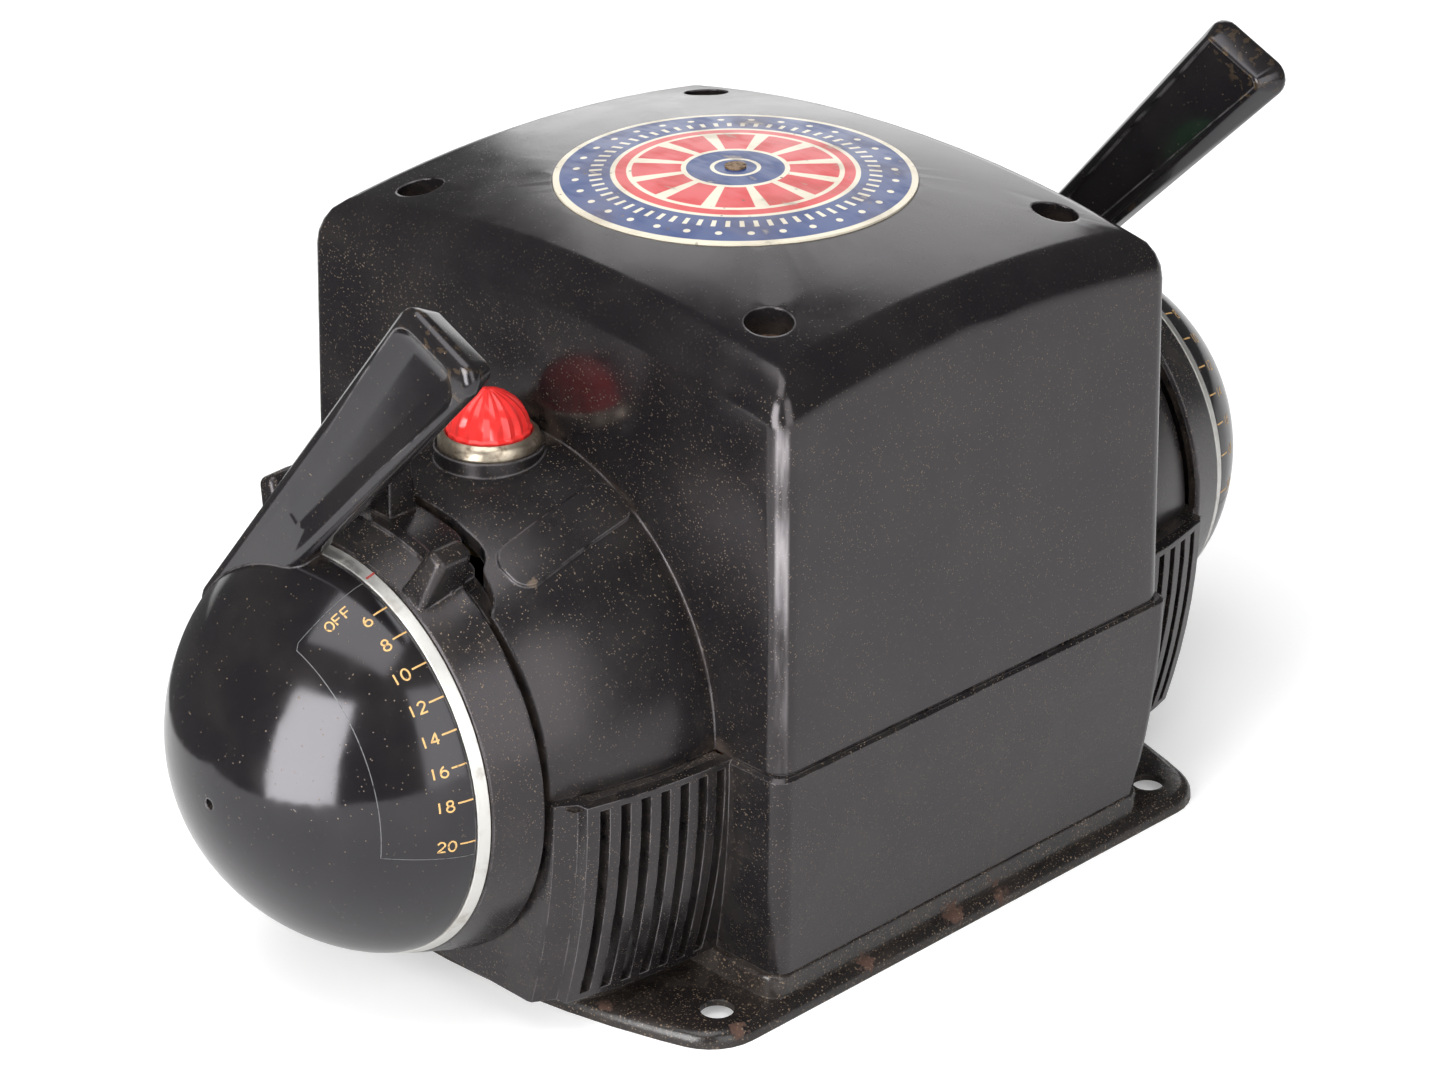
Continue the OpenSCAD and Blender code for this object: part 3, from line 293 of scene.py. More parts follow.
CASING_DRAFT = 0.0155      # how far each wall leans in, for its height
CROWN_FROM = 0.148
# The last colour is that of the painted highlight down the casing's upright corners.
CHIP_R, FILLER, CORNER_HIGHLIGHT = 0.0016, (0.11, 0.080, 0.055), (0.30, 0.28, 0.29)
shell = np.array([v.co for v in shown["upper_casing"].data.vertices])
shell = shell[(np.abs(shell[:, 0]) < HUB_FROM) & (shell[:, 2] < 0.120)]
CORNER_OUT = float((np.abs(shell[:, 0]) + np.abs(shell[:, 1]) + 2 * CASING_DRAFT * shell[:, 2]).max())


def chip_and_corner_highlight(tree, where, edge, colour):
    """The bare plaque has a chip that shows the filler, and a painted highlight runs down the upright
    corners, stronger higher up.
    """
    chip = blot(tree, where, shown["upper_casing"], "plaque_chip", CHIP_R)
    colour = blend_colours(tree, maths(tree, "MULTIPLY", chip, 0.8), colour, FILLER)
    part = node(tree, "ShaderNodeSeparateXYZ", None, Vector=where).outputs
    along = maths(tree, "ABSOLUTE", part["X"])
    out = maths(tree, "ADD", along, maths(tree, "ABSOLUTE", part["Y"]))
    out = maths(tree, "ADD", out, maths(tree, "MULTIPLY", part["Z"], 2 * CASING_DRAFT))
    # Painted highlight: a pale line down each upright corner, fading towards the bottom.
    line = between(tree, out, CORNER_OUT - 0.0005, CORNER_OUT - 0.0001)
    line = maths(tree, "MULTIPLY", line, between(tree, along, HUB_FROM + 0.0003, HUB_FROM - 0.0003))
    line = maths(tree, "MULTIPLY", line, between(tree, part["Z"], 0.070, 0.125, 0.25, 0.8))
    line = maths(tree, "MULTIPLY", line, between(tree, noise(tree, where, 160, 4, (1, 1, 0.15)), 0.36, 0.56))
    return blend_colours(tree, line, colour, CORNER_HIGHLIGHT)


# The upper casing also gets a painted highlight down its upright corners.
casing_black = phenolic("casing_phenolic", 0.14, 0.72, satin_hubs=0.10, extra_marks=chip_and_corner_highlight, wiped_above=CROWN_FROM)
lower_black = phenolic("lower_casing_phenolic", 0.22, 1.0, 0.35, film=0.03, round_over=0.0004)
dress(shown["upper_casing"], casing_black, 32)
dress(shown["lower_casing"], lower_black, 32)

# The ledge over the louvres runs on inwards under the drum, as a flat bed that is thick with dust.
BED_Z, BED_DEEP, BED_FROM, BED_TO = 0.0632, 0.0006, 0.0665, 0.1080
BED_UNDER_PANEL, BED_UNDER_DRUM = 0.0012, 0.0010      # how far its edges run into the mouldings
PANEL_Y, PANEL_BOW, PANEL_X = 0.0663, 3.24, 0.062
DRUM_R, DRUM_ARC, DRUM_X = 0.0602, 0.1184, 0.066


def panel_y(x):
    """Half the width over the bowed louvre panels, at a distance from the middle."""
    return PANEL_Y - PANEL_BOW * (x - PANEL_X) ** 2


def drum_r(x):
    """The drum's radius, which falls along an arc."""
    return DRUM_R - DRUM_ARC + math.sqrt(DRUM_ARC ** 2 - (x - DRUM_X) ** 2)


bed_dust = phenolic("ledge_dust", 0.5, 3.2, 0.4, 0.4, 0.05)
for side, sign in (("left", -1), ("right", 1)):
    for edge_name, front in (("front", -1), ("back", 1)):
        bed = []
        for x in np.linspace(BED_FROM, BED_TO, 12):
            for y in (panel_y(x) - BED_UNDER_PANEL, drum_r(x) - BED_UNDER_DRUM):
                bed += [(sign * x, front * y, BED_Z - deep) for deep in (0, BED_DEEP)]
        strips = []
        for k in range(0, len(bed) - 4, 4):
            strips += [(k, k + 2, k + 6, k + 4), (k + 1, k + 5, k + 7, k + 3)]
        mesh_object(f"{side}_{edge_name}_ledge_dust", bed, strips, bed_dust, "case")

# ---------- Base plate ----------
# The base is pressed from sheet steel and stove-enamelled black. The enamel has worn through to rust
# along the rolled edge and round the holes, and dirt has settled where the casing stands on it.
ENAMEL, ENAMEL_BROWNED = (0.012, 0.010, 0.010), (0.024, 0.019, 0.017)
RUST, FOOT_DIRT, FLANGE_DUST = (0.085, 0.040, 0.026), (0.026, 0.019, 0.014), (0.27, 0.195, 0.130)
RUST_SPOTS = {"middle": 0.0040, "left": 0.0030, "corner": 0.0026, "end": 0.0022}      # radius


def enamelled_steel(name):
    material = bpy.data.materials.new(name)
    tree = tree_of(material)
    skin = principled(tree)
    where = node(tree, "ShaderNodeTexCoord").outputs["Object"]
    facing = node(tree, "ShaderNodeNewGeometry").outputs["Normal"]
    rounded = node(tree, "ShaderNodeBevel", {"samples": 4}, Radius=0.0006).outputs[0]
    low = between(tree, node(tree, "ShaderNodeSeparateXYZ", None, Vector=facing).outputs["Z"], 0.97, 0.5)
    extra_marks = maths(tree, "ADD", maths(tree, "MULTIPLY", noise(tree, where, 46, 6), 0.75),
                 maths(tree, "MULTIPLY", noise(tree, where, 230, 4), 0.35))
    rust = between(tree, maths(tree, "ADD", extra_marks, maths(tree, "MULTIPLY", low, 0.03)), 0.70, 0.76)
    rust = largest(tree, rust, *[blot(tree, where, shown["base_plate"], f"rust_{spot}", radius)
                                 for spot, radius in RUST_SPOTS.items()])
    open_air = node(tree, "ShaderNodeAmbientOcclusion", {"samples": 6}, Distance=0.014).outputs["AO"]
    dirt = maths(tree, "MULTIPLY", between(tree, open_air, 0.80, 0.35),
                 between(tree, noise(tree, where, 130, 5), 0.32, 0.6))
    dots = largest(tree, specks(tree, where, 900, 0.24, 0.45),
                   specks(tree, where, 1700, 0.30, 0.45, turn=(0.8, 0.3, 0.1)))
    patch = between(tree, noise(tree, where, 90, 4), 0.35, 0.75)
    colour = blend_colours(tree, patch, ENAMEL, ENAMEL_BROWNED)
    colour = blend_colours(tree, maths(tree, "MULTIPLY", rust, 0.8), colour, RUST)
    colour = blend_colours(tree, maths(tree, "MULTIPLY", dirt, 0.9), colour, FOOT_DIRT)
    colour = blend_colours(tree, maths(tree, "MULTIPLY", dots, 0.55), colour, FLANGE_DUST)
    dull = largest(tree, rust, dirt)
    height = maths(tree, "ADD", maths(tree, "MULTIPLY", rust, -0.5),
                   maths(tree, "MULTIPLY", noise(tree, where, 600, 3), 0.5))
    bump = node(tree, "ShaderNodeBump", None, Height=height, Strength=0.5, Distance=0.0003, Normal=rounded)
    tree.links.new(colour, skin.inputs["Base Color"])
    tree.links.new(between(tree, dull, 0, 1, 0.24, 0.80), skin.inputs["Roughness"])
    tree.links.new(bump.outputs[0], skin.inputs["Normal"])
    return material


dress(shown["base_plate"], enamelled_steel("enamelled_steel"), 40)

# ---------- Casing screws ----------
# Four slotted steel screws stand in the counterbores of the crown and hold both casings to the base.
# They have rusted brown; the square nuts below are plain zinc-plated steel.


def metal(name, bright, dark, rough, stain, grain, stretch=(1, 1, 1), metallic=1.0):
    """A metal with darker stains and a fine grain, drawn out along its brushing."""
    material = bpy.data.materials.new(name)
    tree = tree_of(material)
    skin = principled(tree)
    where = node(tree, "ShaderNodeTexCoord").outputs["Object"]
    rounded = node(tree, "ShaderNodeBevel", {"samples": 4}, Radius=0.0003).outputs[0]
    patch = between(tree, noise(tree, where, grain, 5), 0.62 - 0.3 * stain, 0.75)
    lines = noise(tree, where, grain * 4, 2, stretch)
    colour = blend_colours(tree, patch, bright, dark)
    dull = maths(tree, "ADD", maths(tree, "MULTIPLY", patch, 0.25),
                 between(tree, lines, 0.3, 0.7, rough, rough + 0.1))
    tree.links.new(colour, skin.inputs["Base Color"])
    tree.links.new(dull, skin.inputs["Roughness"])
    bump = node(tree, "ShaderNodeBump", None, Height=lines, Strength=0.12, Distance=0.0001, Normal=rounded)
    tree.links.new(bump.outputs[0], skin.inputs["Normal"])
    skin.inputs["Metallic"].default_value = metallic
    return material


rusted = metal("rusted_screw", (0.15, 0.085, 0.055), (0.045, 0.028, 0.02), 0.6, 0.7, 900, metallic=0.35)
zinc = metal("zinc_plate", (0.55, 0.56, 0.57), (0.22, 0.22, 0.22), 0.35, 0.4, 400)
dress(shown["casing_screws"], rusted)
dress(shown["screw_nuts"], zinc)

# ---------- Nameplate ----------
# A dished aluminium disc, lithographed in cream, blue and red and held by one rivet. The print here is a
# plain railway-wheel pattern: a cream rim, a blue band with a ring of dots, and spokes on red.
CREAM, NAVY, SIGNAL_RED = (0.72, 0.66, 0.53), (0.024, 0.055, 0.19), (0.60, 0.030, 0.036)
STAIN, SCUFF, PIT = (0.22, 0.17, 0.12), (0.35, 0.31, 0.26), (0.12, 0.08, 0.05)


def printed_disc(name):
    material = bpy.data.materials.new(name)
    tree = tree_of(material)
    skin = principled(tree)
    where = node(tree, "ShaderNodeTexCoord").outputs["Object"]
    part = node(tree, "ShaderNodeSeparateXYZ", None, Vector=where)
    x, y = part.outputs["X"], part.outputs["Y"]
    flat = node(tree, "ShaderNodeCombineXYZ", None, X=x, Y=y).outputs[0]
    reach = node(tree, "ShaderNodeVectorMath", {"operation": "LENGTH"}, i0=flat).outputs["Value"]
    reach = maths(tree, "MULTIPLY", reach, 1000)
    turn = maths(tree, "DIVIDE", maths(tree, "ARCTAN2", y, x), math.tau)

    def ring(inner, outer):
        inside = between(tree, reach, inner - 0.08, inner + 0.08)
        return maths(tree, "MULTIPLY", inside, between(tree, reach, outer + 0.08, outer - 0.08))

    def teeth(number, share, shift=0.0):
        step = maths(tree, "ADD", maths(tree, "MULTIPLY", turn, number), shift + 100)
        saw = maths(tree, "ABSOLUTE", maths(tree, "SUBTRACT", maths(tree, "FRACT", step), 0.5))
        return between(tree, saw, share / 2 + 0.012, share / 2 - 0.012)

    def dots(number, at, radius):
        step = maths(tree, "ADD", maths(tree, "MULTIPLY", turn, number), 100)
        along = maths(tree, "SUBTRACT", maths(tree, "FRACT", step), 0.5)
        along = maths(tree, "MULTIPLY", along, math.tau * at / number)
        across = maths(tree, "SUBTRACT", reach, at)
        squares = [maths(tree, "MULTIPLY", way, way) for way in (across, along)]
        away = maths(tree, "SQRT", maths(tree, "ADD", *squares))
        return between(tree, away, radius + 0.08, radius - 0.08)

    colour = blend_colours(tree, ring(29.4, 41.3), CREAM, NAVY)
    colour = blend_colours(tree, dots(32, 37.6, 0.85), colour, CREAM)
    colour = blend_colours(tree, maths(tree, "MULTIPLY", ring(31.4, 34.4), teeth(64, 0.34)), colour, CREAM)
    colour = blend_colours(tree, ring(-1, 28.2), colour, SIGNAL_RED)
    spokes = maths(tree, "MULTIPLY", ring(12.5, 24.6), teeth(12, 0.26, 0.5))
    colour = blend_colours(tree, spokes, colour, CREAM)
    colour = blend_colours(tree, ring(24.4, 25.6), colour, CREAM)
    colour = blend_colours(tree, ring(-1, 12.8), colour, CREAM)
    colour = blend_colours(tree, ring(-1, 11.6), colour, NAVY)
    colour = blend_colours(tree, ring(5.0, 6.0), colour, CREAM)
    extra_marks = maths(tree, "ADD", maths(tree, "MULTIPLY", noise(tree, where, 120, 6), 0.7),
                 maths(tree, "MULTIPLY", noise(tree, where, 700, 3, (1, 0.2, 1)), 0.3))
    scuffed = between(tree, extra_marks, 0.60, 0.66)
    stain = between(tree, noise(tree, where, 60, 5), 0.45, 0.75)
    colour = blend_colours(tree, maths(tree, "MULTIPLY", stain, 0.35), colour, STAIN)
    colour = blend_colours(tree, maths(tree, "MULTIPLY", scuffed, 0.6), colour, SCUFF)
    colour = blend_colours(tree, specks(tree, where, 500, 0.2, 0.10), colour, PIT)
    tree.links.new(colour, skin.inputs["Base Color"])
    tree.links.new(between(tree, extra_marks, 0.4, 0.66, 0.28, 0.5), skin.inputs["Roughness"])
    height = maths(tree, "SUBTRACT", 0.0, scuffed)
    bump = node(tree, "ShaderNodeBump", None, Height=height, Strength=0.15, Distance=0.0001)
    tree.links.new(bump.outputs[0], skin.inputs["Normal"])
    return material


dress(shown["nameplate"], printed_disc("lithographed_disc"), 40)
browned_brass = metal("brass_rivet", (0.30, 0.20, 0.12), (0.10, 0.065, 0.04), 0.5, 0.6, 900, metallic=0.6)
dress(shown["nameplate_rivet"], browned_brass)

# ---------- Transformer ----------
# Inside stands a stack of silicon-steel laminations with one bobbin of varnished wire, bolted between
# two zinc-plated frames. It is seen only through the louvres and from below, so it is dressed simply.
laminations = metal("core_laminations", (0.16, 0.16, 0.17), (0.06, 0.05, 0.045), 0.5, 0.6, 60, (40, 1, 1))
wire = metal("varnished_wire", (0.30, 0.12, 0.05), (0.12, 0.05, 0.02), 0.3, 0.4, 60, (1, 1, 30), 0.4)
copper = metal("bare_copper", (0.62, 0.32, 0.20), (0.30, 0.15, 0.09), 0.35, 0.5, 300)
fibre = metal("bobbin_fibre", (0.20, 0.11, 0.06), (0.10, 0.055, 0.03), 0.6, 0.5, 200, metallic=0.0)
brass = metal("aged_brass", (0.55, 0.38, 0.16), (0.22, 0.14, 0.07), 0.35, 0.55, 350)
dress(shown["laminated_core"], laminations)
dress(shown["coil_winding"], wire)
dress(shown["commutator_faces"], copper)
dress(shown["coil_bobbin"], fibre)
dress(shown["core_bolts"], brass)
dress(shown["core_frames"], zinc)
dress(shown["frame_screws"], zinc)

# ---------- Rectifier and breaker ----------
# One oxide disc gives the direct current for the whistle, and a thermal breaker has its strips on a fibre
# board. Both sit on top of the core, hidden by the casing.
oxide = metal("rectifier_oxide", (0.22, 0.09, 0.06), (0.10, 0.05, 0.04), 0.5, 0.5, 300, metallic=0.3)
board = metal("breaker_board", (0.17, 0.11, 0.07), (0.08, 0.05, 0.035), 0.55, 0.5, 300, metallic=0.0)
dress(shown["rectifier_disc"], oxide)
dress(shown["circuit_breaker"], board)

# ---------- Terminals ----------
# Eight brass posts pass through a fibre board inside the back wall. Each has a fluted, nickel-plated
# thumb nut. The mains cord's rubber grommet sits low beside them.
panel = metal("terminal_fibre", (0.16, 0.085, 0.045), (0.08, 0.045, 0.025), 0.55, 0.5, 150, metallic=0.0)
nut_nickel = metal("nickel_nuts", (0.62, 0.60, 0.56), (0.30, 0.27, 0.22), 0.28, 0.45, 500)
dress(shown["terminal_board"], panel)
dress(shown["binding_posts"], brass)
dress(shown["thumb_nuts"], nut_nickel, 20)
dress(shown["cord_grommet"], phenolic("grommet_rubber", 0.5, 0.8, 1.0, 0.6))

# ---------- Shafts and contacts ----------
# On each side a steel shaft turns in a brass bush and a plated bracket. It swings a brass arm whose carbon
# roller runs on the bared turns of the winding. A spring brings the controller ring back to its middle.
carbon = metal("carbon", (0.035, 0.035, 0.037), (0.02, 0.02, 0.02), 0.5, 0.5, 800, metallic=0.2)
for side in ("left", "right"):
    dress(shown[f"{side}_carbon_roller"], carbon)
    for name in ("bearing_bracket", "throttle_shaft", "controller_spring"):
        dress(shown[f"{side}_{name}"], zinc)
    for name in ("hub_bush", "contact_arm"):
        dress(shown[f"{side}_{name}"], brass)

# ---------- Controller rings ----------
# The rocking ring behind each throttle is moulded of the same phenolic. Its cone is satin and dusty, and
# the tabs have been polished by thumbs.
ring_black = phenolic("controller_phenolic", 0.22, 1.1, 0.9, film=0.035)
for side in ("left", "right"):
    dress(shown[f"{side}_controller_ring"], ring_black, 32)

# ---------- Index rings ----------
# A spun aluminium ring shows as a bright band between dome and controller. A short red line painted
# across it is the mark that the dial is read against.
AXIS_Z = 0.0635      # the height of the axis of both hubs
INDEX_R, INDEX_X0, INDEX_X1 = 0.0500, 0.1247, 0.1269
INDEX_FALL = 0.0008      # how much smaller the band is at its outer edge
MARK_ANGLE, MARK_HALF, MARK_LIFT = 15.5, 0.33, 0.00004


def paint(name, colour, faded, rough=0.5, wear=0.60):
    """Thin paint or transfer ink, gone in places."""
    material = bpy.data.materials.new(name)
    tree = tree_of(material)
    skin = principled(tree)
    where = node(tree, "ShaderNodeTexCoord").outputs["Object"]
    gone = between(tree, noise(tree, where, 1500, 4), wear, wear + 0.10)
    gone = maths(tree, "MULTIPLY", gone, between(tree, noise(tree, where, 120, 2), 0.42, 0.60))
    tree.links.new(blend_colours(tree, gone, colour, faded), skin.inputs["Base Color"])
    skin.inputs["Roughness"].default_value = rough
    return material


aluminium = metal("spun_aluminium", (0.68, 0.67, 0.64), (0.46, 0.44, 0.40), 0.40, 0.40, 160)
mark_red = paint("index_red", (0.28, 0.035, 0.030), (0.60, 0.45, 0.42))
for side, sign in (("left", -1), ("right", 1)):
    dress(shown[f"{side}_index_ring"], aluminium)
    band = []
    for x in (INDEX_X0, INDEX_X1):
        for half in (-MARK_HALF, MARK_HALF):
            around = math.radians(MARK_ANGLE + half)
            out = INDEX_R + MARK_LIFT - (INDEX_FALL if x == INDEX_X1 else 0.0)
            band.append((sign * x, -out * math.sin(around), AXIS_Z + out * math.cos(around)))
    mesh_object(f"{side}_index_mark", band, [(0, 1, 3, 2) if sign < 0 else (0, 2, 3, 1)], mark_red, "case")

# ---------- Throttle levers ----------
# Dome and handle are one moulding, polished brighter than the casing. Its rubbed tip still holds flecks of
# an old gold finish in the edges.
HANDLE_LEAN = math.radians(42.3)
TIP_FROM, TIP_TO = 0.109, 0.113      # how far out from the axis the old gold begins
OLD_GOLD = (0.26, 0.17, 0.085)
LEVER_SHINE = (0.97, 0.945, 1.0)


def gilded(tree, where, edge, colour):
    """Old gold along the edges of the handle's tip."""
    along = node(tree, "ShaderNodeVectorMath", {"operation": "DOT_PRODUCT"}, i0=where,
                 i1=(0, -math.sin(HANDLE_LEAN), math.cos(HANDLE_LEAN))).outputs["Value"]
    along = maths(tree, "SUBTRACT", along, AXIS_Z * math.cos(HANDLE_LEAN))
    tip = between(tree, along, TIP_FROM, TIP_TO)
    flecks = between(tree, noise(tree, where, 420, 5), 0.55, 0.60)
    near_edge = maths(tree, "ADD", 0.12, edge, True)
    share = maths(tree, "MULTIPLY", maths(tree, "MULTIPLY", tip, flecks), near_edge)
    return blend_colours(tree, maths(tree, "MULTIPLY", share, 0.8, True), colour, OLD_GOLD)


lever_black = phenolic("lever_phenolic", 0.085, 0.13, 0.6, 0.04, 0.015, extra_marks=gilded, shine=LEVER_SHINE)
for side in ("left", "right"):
    dress(shown[f"{side}_throttle_lever"], lever_black, 32)

# ---------- Dials ----------
# Each dome carries a gold transfer with plain numbers for its steps, read against the index line, and OFF
# above them. The clear film of the transfer shows as a faint outline.
DOME_R, DOME_X0, DOME_L = 48.6, 127.7, 35.6      # mm, as all sizes of the dial
DOME_FULLNESS, DOME_NOSE = 1.4, 1.9      # the powers of its outline
STEPS = {"6": 25.8, "8": 34.5, "10": 44.1, "12": 53.9, "14": 63.0, "16": 72.2, "18": 82.1, "20": 94.2}
TICK_ARC, LABEL_ARC, LABEL_BELOW = (0.25, 3.9), 6.9, 0.35
ONE_FIGURE_IN = 1.1      # a number of one figure stands nearer to its tick
OFF_ARC, OFF_ANGLE = 10.2, 20.0
CHAR_H, CHAR_STEP, CHAR_MIDDLE = 2.65, 2.42, 0.36
PRINT_W, FILM_W, PRINT_LIFT = 0.42, 0.20, 0.04
FILM_ANGLES, FILM_ARC, FILM_RIM = (15.8, 98.4), 21.3, 0.3
FILM_CUT = (1.5, 0.2)      # its clipped corner


def oval(cx, cy, rx, ry, start=0, end=360, count=18):
    angles = np.radians(np.linspace(start, end, count))
    return [(cx + rx * math.cos(a), cy + ry * math.sin(a)) for a in angles]


STROKES = {
    "O": [oval(0.36, 0.5, 0.34, 0.5)], "F": [[(0.04, 0), (0.04, 1), (0.66, 1)], [(0.04, 0.52), (0.55, 0.52)]],
    "0": [oval(0.36, 0.5, 0.33, 0.5)], "1": [[(0.36, 0), (0.36, 1)]],
    "2": [oval(0.36, 0.72, 0.30, 0.28, 170, -35, 10) + [(0.04, 0), (0.70, 0)]],
    "4": [[(0.54, 0), (0.54, 1), (0.02, 0.30), (0.72, 0.30)]],
    "6": [oval(0.36, 0.30, 0.31, 0.30), oval(0.62, 0.36, 0.57, 0.64, 110, 186, 8)],
    "8": [oval(0.36, 0.26, 0.32, 0.27), oval(0.36, 0.76, 0.26, 0.24)],
}
to_nose = np.linspace(0, 1, 400)
outline_x = DOME_X0 + DOME_L * to_nose
outline_r = DOME_R * np.maximum(1 - to_nose ** DOME_FULLNESS, 0) ** (1 / DOME_NOSE)
outline_arc = np.concatenate([[0], np.cumsum(np.hypot(np.diff(outline_x), np.diff(outline_r)))])


def ribbon(line, width):
    """A polyline as pairs of points, half a width to each side."""
    line = np.array(line, float)
    run = np.gradient(line, axis=0)
    run /= np.maximum(np.linalg.norm(run, axis=1), 1e-9)[:, None]
    side = np.c_[-run[:, 1], run[:, 0]] * width / 2
    return np.stack([line + side, line - side], 1).reshape(-1, 2)


def dense(line, step=0.5):
    """The same polyline with more points, and each of its corners kept."""
    out = [line[0]]
    for a, b in zip(line, line[1:]):
        count = max(1, int(math.dist(a, b) / step))
        for k in range(1, count + 1):
            out.append((a[0] + (b[0] - a[0]) * k / count, a[1] + (b[1] - a[1]) * k / count))
    return out


def dial(side, sign, lines, name, width, material):
    """Lines given as arc from the rim and way round, both in mm, laid on the dome."""
    tree = carried_by([shown[f"{side}_throttle_lever"]])
    corners, faces = [], []
    for line in lines:
        base = len(corners)
        for arc, around in ribbon(line, width):
            x, r = np.interp(arc, outline_arc, outline_x), np.interp(arc, outline_arc, outline_r)
            angle = around / DOME_R
            on = Vector((sign * x, -r * math.sin(angle), AXIS_Z * 1000 + r * math.cos(angle))) / 1000
            place, normal, _, _ = tree.find_nearest(on)
            corners.append(place + normal * PRINT_LIFT / 1000)
        for k in range(base, len(corners) - 2, 2):
            faces.append((k, k + 1, k + 3, k + 2))
    made = mesh_object(f"{side}_{name}", corners, faces, material, f"{side}_throttle")
    for face in made.data.polygons:
        face.use_smooth = True


def written(text, arc, around, sign):
    """The strokes of a word whose middle is at a place on the dome, read towards +X."""
    lines = []
    start = -(len(text) - 1) / 2 * CHAR_STEP - CHAR_MIDDLE * CHAR_H
    for k, letter in enumerate(text):
        at = start + k * CHAR_STEP
        for stroke in STROKES[letter]:
            line = [(sign * (at + x * CHAR_H) + arc, around - (y - 0.5) * CHAR_H) for x, y in stroke]
            lines.append(dense(line, 0.35))
    return lines


gold = paint("dial_gold", (0.56, 0.34, 0.125), (0.05, 0.035, 0.02), 0.42, 0.56)
film_edge = paint("transfer_film", (0.10, 0.10, 0.105), (0.02, 0.02, 0.02), 0.4, 0.52)
for side, sign in (("left", -1), ("right", 1)):
    print_lines = []
    for text, angle in STEPS.items():
        around = math.radians(angle) * DOME_R
        arc = LABEL_ARC - ONE_FIGURE_IN * (len(text) == 1)
        print_lines += written(text, arc, around + LABEL_BELOW, sign)
        print_lines.append(dense([(TICK_ARC[0], around), (TICK_ARC[1], around)]))
    print_lines += written("OFF", OFF_ARC, math.radians(OFF_ANGLE) * DOME_R, sign)
    dial(side, sign, print_lines, "dial_numbers", PRINT_W, gold)
    low, high = (math.radians(a) * DOME_R for a in FILM_ANGLES)
    cut, rise = FILM_CUT
    outer = [(FILM_ARC - cut, low + rise), (FILM_ARC, low + cut), (FILM_ARC, high)]
    outline = [(FILM_RIM, low)] + outer + [(FILM_RIM, high)]
    dial(side, sign, [dense(outline, 0.8)], "dial_film", FILM_W, film_edge)

# ---------- Lamps ----------
# A pressed jewel of clear plastic, red on the near hub and green on the far one, sits in a nickel bezel
# over a small bulb in a brass socket.


def jewel(name, tint):
    material = bpy.data.materials.new(name)
    tree = tree_of(material)
    glass = principled(tree)
    where = node(tree, "ShaderNodeTexCoord").outputs["Object"]
    cloudy = noise(tree, where, 260, 3)
    colour = blend_colours(tree, between(tree, cloudy, 0.3, 0.7), tint, tuple(c * 0.8 for c in tint))
    tree.links.new(colour, glass.inputs["Base Color"])
    tree.links.new(between(tree, cloudy, 0.3, 0.8, 0.12, 0.24), glass.inputs["Roughness"])
    glass.inputs["Transmission Weight"].default_value = 0.12
    glass.inputs["Subsurface Weight"].default_value = 0.30
    glass.inputs["Subsurface Radius"].default_value = (0.004, 0.001, 0.001)
    glass.inputs["IOR"].default_value = 1.49
    return material


dress(shown["left_lamp_lens"], jewel("red_jewel", (0.95, 0.045, 0.040)), 22)
dress(shown["right_lamp_lens"], jewel("green_jewel", (0.03, 0.42, 0.12)), 22)
nickel = metal("tarnished_nickel", (0.54, 0.47, 0.37), (0.22, 0.17, 0.12), 0.32, 0.6, 420)
bulb_glass = metal("bulb_glass", (0.80, 0.78, 0.70), (0.70, 0.66, 0.55), 0.1, 0.3, 300, metallic=0.0)
for side in ("left", "right"):
    dress(shown[f"{side}_lamp_bezel"], nickel)
    dress(shown[f"{side}_lamp_socket"], brass)
    dress(shown[f"{side}_lamp_bulb"], bulb_glass)

# ---------- Studio ----------
# A small white table stands before a white paper backdrop, in a dim room. A tall soft box stands off the
# left end and reaches below the table, a weaker one in front, and a broad one hangs above.
FLOOR_REACH = 4.0
TABLE_CORNER, PAPER_CORNER = (-0.43, 0.27), (0.05, 0.17)     # the ends of the table's back edge
AIR_LEVEL, AIR_MIRRORED = 0.36, 0.12      # the room's light on the object, and in its reflections


def glow(name, colour, share):
    """A pale surface that is shaded by lamps, and adds a share of plain white for the eye."""
    material = bpy.data.materials.new(name)
    tree = tree_of(material)
    skin = principled(tree)
    skin.inputs["Base Color"].default_value = (*colour, 1)
    skin.inputs["Roughness"].default_value = 0.9
    skin.inputs["Specular IOR Level"].default_value = 0.0
    seen_by_eye = node(tree, "ShaderNodeLightPath").outputs["Is Camera Ray"]
    tree.links.new(maths(tree, "MULTIPLY", seen_by_eye, share), skin.inputs["Emission Strength"])
    skin.inputs["Emission Color"].default_value = (1, 1, 1, 1)
    return material


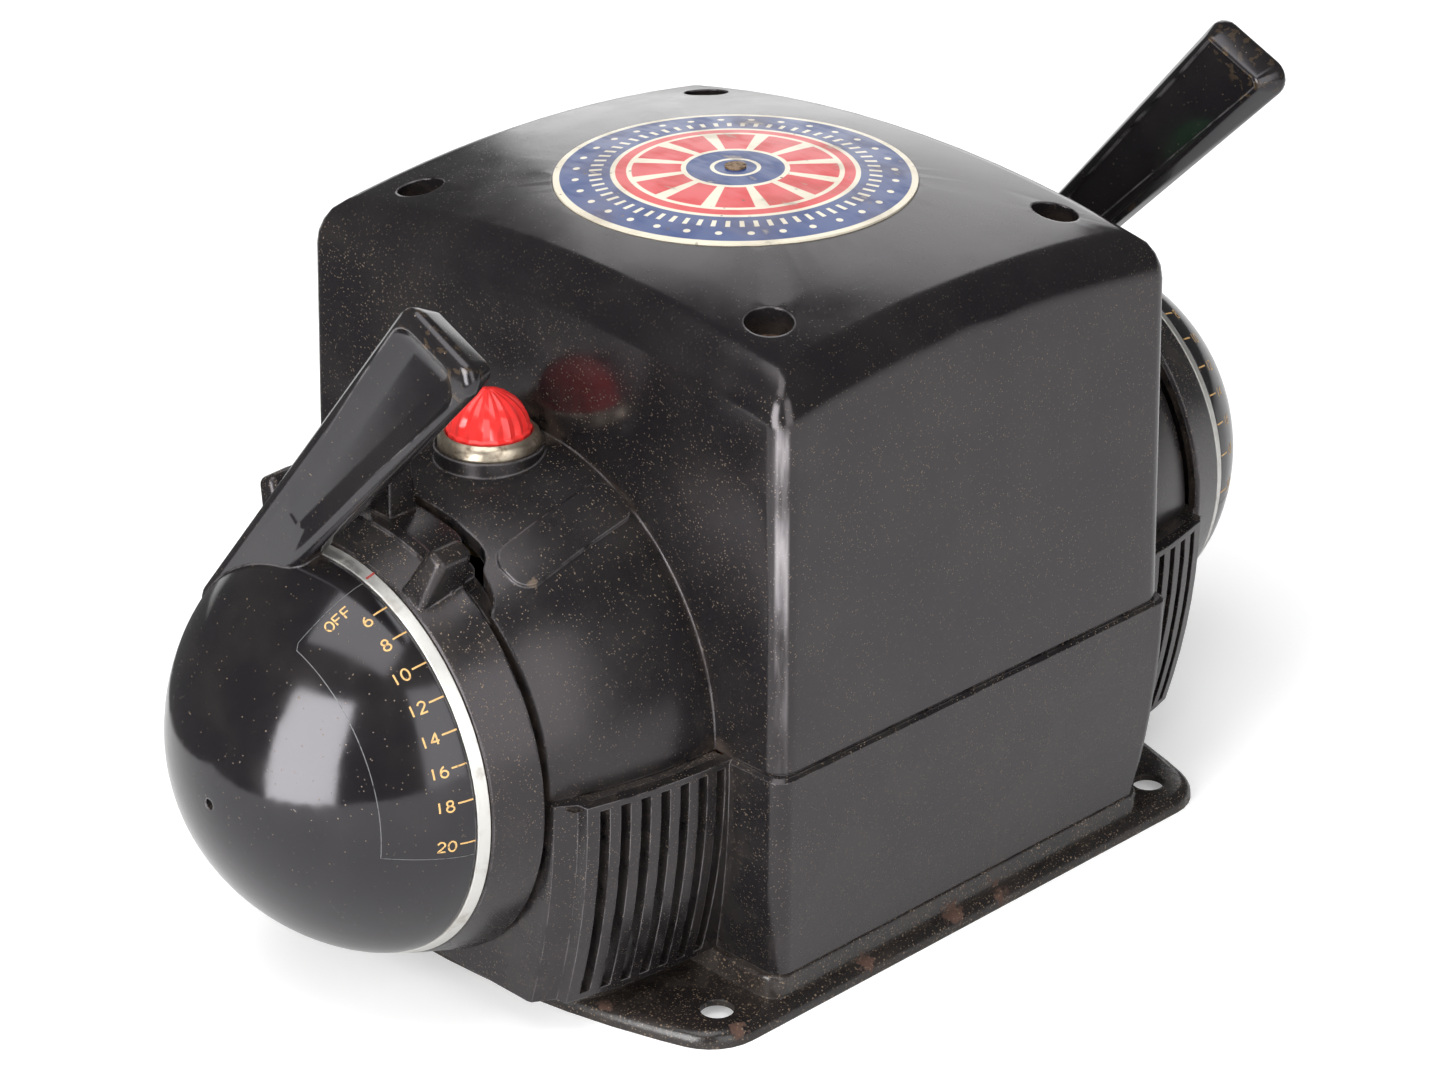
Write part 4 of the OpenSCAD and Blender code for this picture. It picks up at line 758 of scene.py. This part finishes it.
white = glow("table_white", (0.90, 0.90, 0.90), 0.28)
far = FLOOR_REACH
(left, back), (corner_x, corner_y) = TABLE_CORNER, PAPER_CORNER
back_edge = [(corner_x, far, 0), (corner_x, corner_y, 0), (left, back, 0)]
table = [(left, -far, 0), (far, -far, 0), (far, far, 0)] + back_edge
beyond = [(-far, -far, 0), (left, -far, 0)] + back_edge[::-1] + [(-far, far, 0)]
table_top = mesh_object("table_top", table, [range(6)], white)
room_floor = mesh_object("room_floor", beyond, [range(6)], white)
room_floor.visible_glossy = False
room_floor.visible_shadow = False

world = bpy.data.worlds.new("studio")
scene.world = world
air = tree_of(world)
path = node(air, "ShaderNodeLightPath")
seen = largest(air, path.outputs["Is Camera Ray"], path.outputs["Is Transmission Ray"])
level = between(air, path.outputs["Is Glossy Ray"], 0, 1, AIR_LEVEL, AIR_MIRRORED)
sky = air.nodes["Background"]
air.links.new(maths(air, "MAXIMUM", level, seen), sky.inputs["Strength"])
sky.inputs["Color"].default_value = (1, 1, 1, 1)


def soft_box(name, azimuth, elevation, away, half_wide, half_high, level):
    """An area lamp that covers some degrees of the view from the object, as bright as its level."""
    lamp = bpy.data.lights.new(name, "AREA")
    lamp.shape = "RECTANGLE"
    lamp.size = 2 * away * math.tan(math.radians(half_wide))
    lamp.size_y = 2 * away * math.tan(math.radians(half_high))
    lamp.energy = level * math.pi * lamp.size * lamp.size_y
    made = bpy.data.objects.new(name, lamp)
    scene.collection.objects.link(made)
    around, up = math.radians(azimuth), math.radians(elevation)
    aim = Vector((math.cos(around) * math.cos(up), math.sin(around) * math.cos(up), math.sin(up)))
    made.location = MIDDLE + aim * away
    made.rotation_euler = aim.to_track_quat("Z", "Y").to_euler()


soft_box("left_box", -172, 9, 1.5, 15, 25, 10.8)
soft_box("front_box", -104, 18, 1.7, 17, 26, 2.7)
soft_box("paper_backdrop", 41, 21, 2.0, 13, 22, 1.75)
soft_box("top_box", -172, 73, 1.5, 22, 21, 3.0)

scene.view_settings.view_transform = "Standard"
